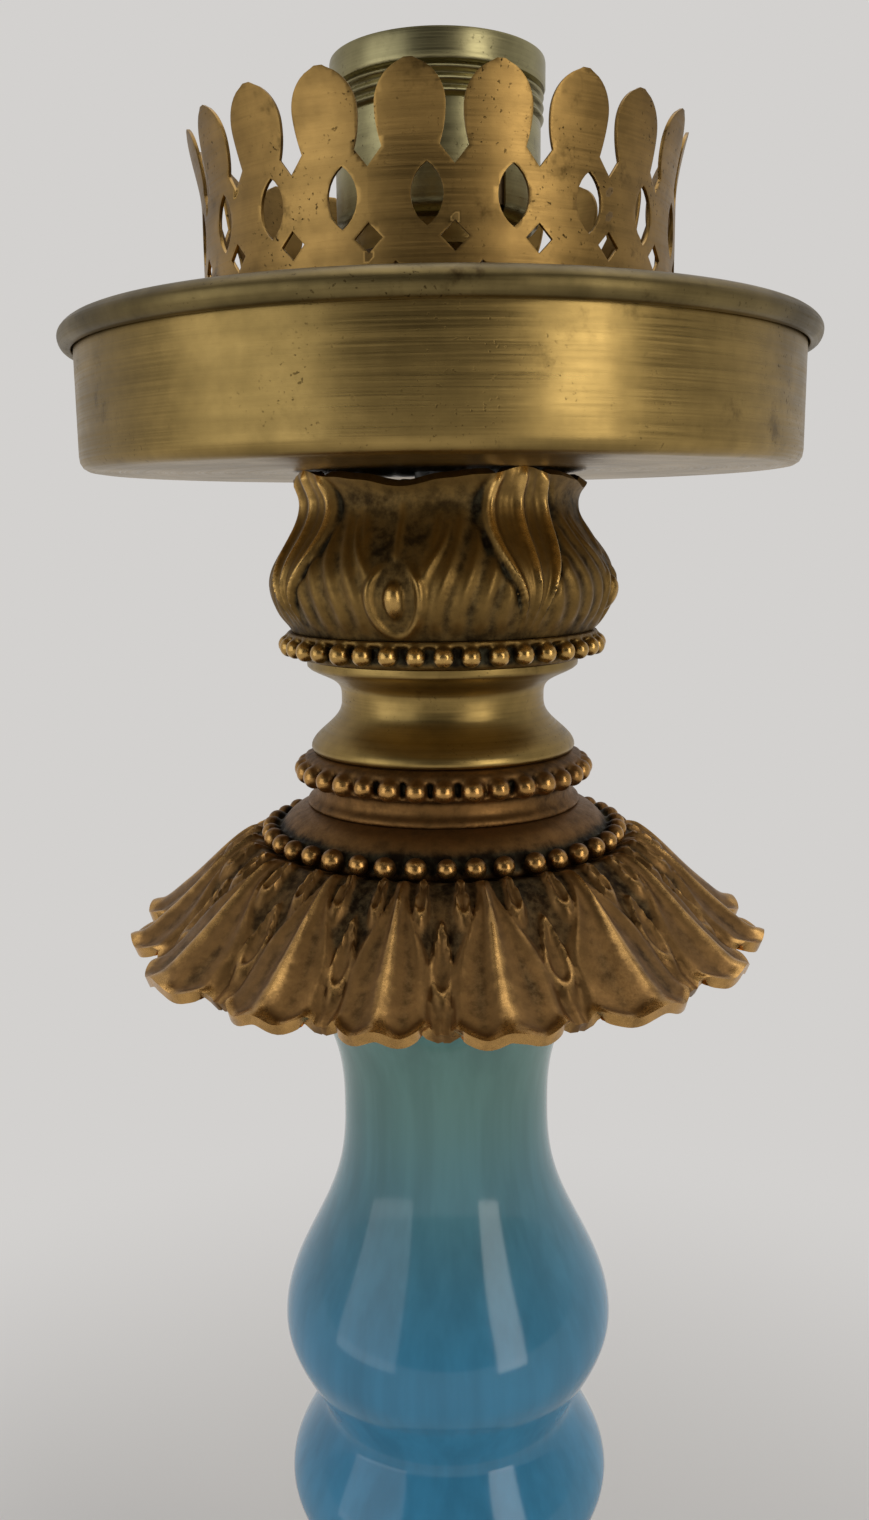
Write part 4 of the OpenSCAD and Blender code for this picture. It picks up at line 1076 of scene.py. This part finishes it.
class LAMP_OT_studio(bpy.types.Operator):
    """Set the camera, the pale floor, its surroundings and the soft lights"""

    bl_idname = "lamp.studio"
    bl_label = "Studio"

    def execute(self, context):
        scene = context.scene
        scene.view_settings.view_transform = "Standard"
        self.camera(scene)
        self.floor()
        self.lights(scene)
        return {"FINISHED"}

    def camera(self, scene):
        """The photograph's view, from a camera fitted to the lamp's rims."""
        data = bpy.data.cameras.new("Camera")
        focal_pixels = 1281
        picture_tall = 1520
        data.sensor_width = 36
        data.lens = focal_pixels / picture_tall * data.sensor_width
        data.clip_start = 0.01
        camera = bpy.data.objects.new("Camera", data)
        scene.collection.objects.link(camera)
        pitch = math.radians(90 - 10.5)
        roll = math.radians(-0.56)
        eye = (-1.7 * MM, -246.6 * MM, (low("drum_pan") - 9.3) * MM)
        camera.matrix_world = (
            Matrix.Translation(eye) @ Matrix.Rotation(pitch, 4, "X") @ Matrix.Rotation(roll, 4, "Z"))
        scene.camera = camera

    def floor(self):
        deselect()
        bpy.ops.mesh.primitive_plane_add(size=12)
        floor = bpy.context.object
        floor.name = "floor"
        tint = colours().wall
        material, wires = new_material("Floor")
        place = wires.add("ShaderNodeTexCoord").outputs["Object"]
        distance = wires.add("ShaderNodeVectorMath", {0: place}, operation="LENGTH").outputs["Value"]
        far = wires.range(distance, 0.12, 0.5)
        matt = wires.add("ShaderNodeBsdfDiffuse", {"Color": (*tint, 1), "Roughness": 0.5}).outputs[0]
        glow = wires.add("ShaderNodeEmission", {"Color": (*tint, 1), "Strength": 1.0}).outputs[0]
        rays = wires.add("ShaderNodeLightPath").outputs
        seen = wires.math("MAXIMUM", rays["Is Camera Ray"], wires.math(
            "MAXIMUM", rays["Is Glossy Ray"], rays["Is Transmission Ray"]))
        share = wires.math("MULTIPLY", far, seen)
        mixed = wires.add("ShaderNodeMixShader", {0: share, 1: matt, 2: glow}).outputs[0]
        wires.add("ShaderNodeOutputMaterial", {"Surface": mixed})
        floor.data.materials.append(material)

    def lights(self, scene):
        middle = (0, 0, 0.33)
        soft_light("right window", (0.95, -1.1, 0.6), middle, 0.55, 1.2, 7, (1.0, 0.97, 0.92))
        soft_light("left window", (-1.2, -0.8, 0.5), middle, 1.2, 1.2, 6, (0.95, 0.97, 1.0))
        soft_light("ceiling", (0.1, 0.1, 1.7), middle, 1.6, 1.6, 10, (1.0, 0.99, 0.97))
        world = bpy.data.worlds.new("Studio")
        scene.world = world
        world.use_nodes = True
        world.node_tree.nodes.clear()
        wires = Wires(world.node_tree)
        tint = colours().wall
        direction = wires.add("ShaderNodeTexCoord").outputs["Generated"]
        parts = wires.add("ShaderNodeSeparateXYZ", {0: direction}).outputs
        behind = wires.range(parts[1], -0.75, 0.35, 0.1, 0.85)
        rays = wires.add("ShaderNodeLightPath").outputs
        strength = wires.math("MAXIMUM", rays["Is Camera Ray"], behind)
        ground = wires.add("ShaderNodeBackground", {"Color": (*tint, 1), "Strength": strength}).outputs[0]
        wires.add("ShaderNodeOutputWorld", {"Surface": ground})


class LAMP_PT_panel(bpy.types.Panel):
    """Lists the steps that build the lamp."""

    bl_label = "Table lamp"
    bl_idname = "LAMP_PT_panel"
    bl_space_type = "VIEW_3D"
    bl_region_type = "UI"
    bl_category = "Table lamp"

    def draw(self, context):
        layout = self.layout
        for step in STEPS:
            layout.operator(step.bl_idname)
        for group in (context.scene.lamp_sizes, context.scene.lamp_colours):
            for name in group.__annotations__:
                layout.prop(group, name)


STEPS = (LAMP_OT_studio, LAMP_OT_glass, LAMP_OT_rings, LAMP_OT_leaves, LAMP_OT_spun, LAMP_OT_crown,
         LAMP_OT_socket, LAMP_OT_hidden)
CLASSES = (LampColours, LampSizes, *STEPS, LAMP_PT_panel)


def register():
    for item in CLASSES:
        bpy.utils.register_class(item)
    bpy.types.Scene.lamp_colours = bpy.props.PointerProperty(type=LampColours)
    bpy.types.Scene.lamp_sizes = bpy.props.PointerProperty(type=LampSizes)


def unregister():
    del bpy.types.Scene.lamp_sizes
    del bpy.types.Scene.lamp_colours
    for item in reversed(CLASSES):
        bpy.utils.unregister_class(item)


def main():
    register()
    bpy.ops.lamp.studio()
    bpy.ops.lamp.glass()
    bpy.ops.lamp.rings()
    bpy.ops.lamp.leaves()
    bpy.ops.lamp.spun()
    bpy.ops.lamp.crown()
    bpy.ops.lamp.socket()
    bpy.ops.lamp.hidden()
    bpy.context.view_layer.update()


if __name__ == "__main__":
    main()
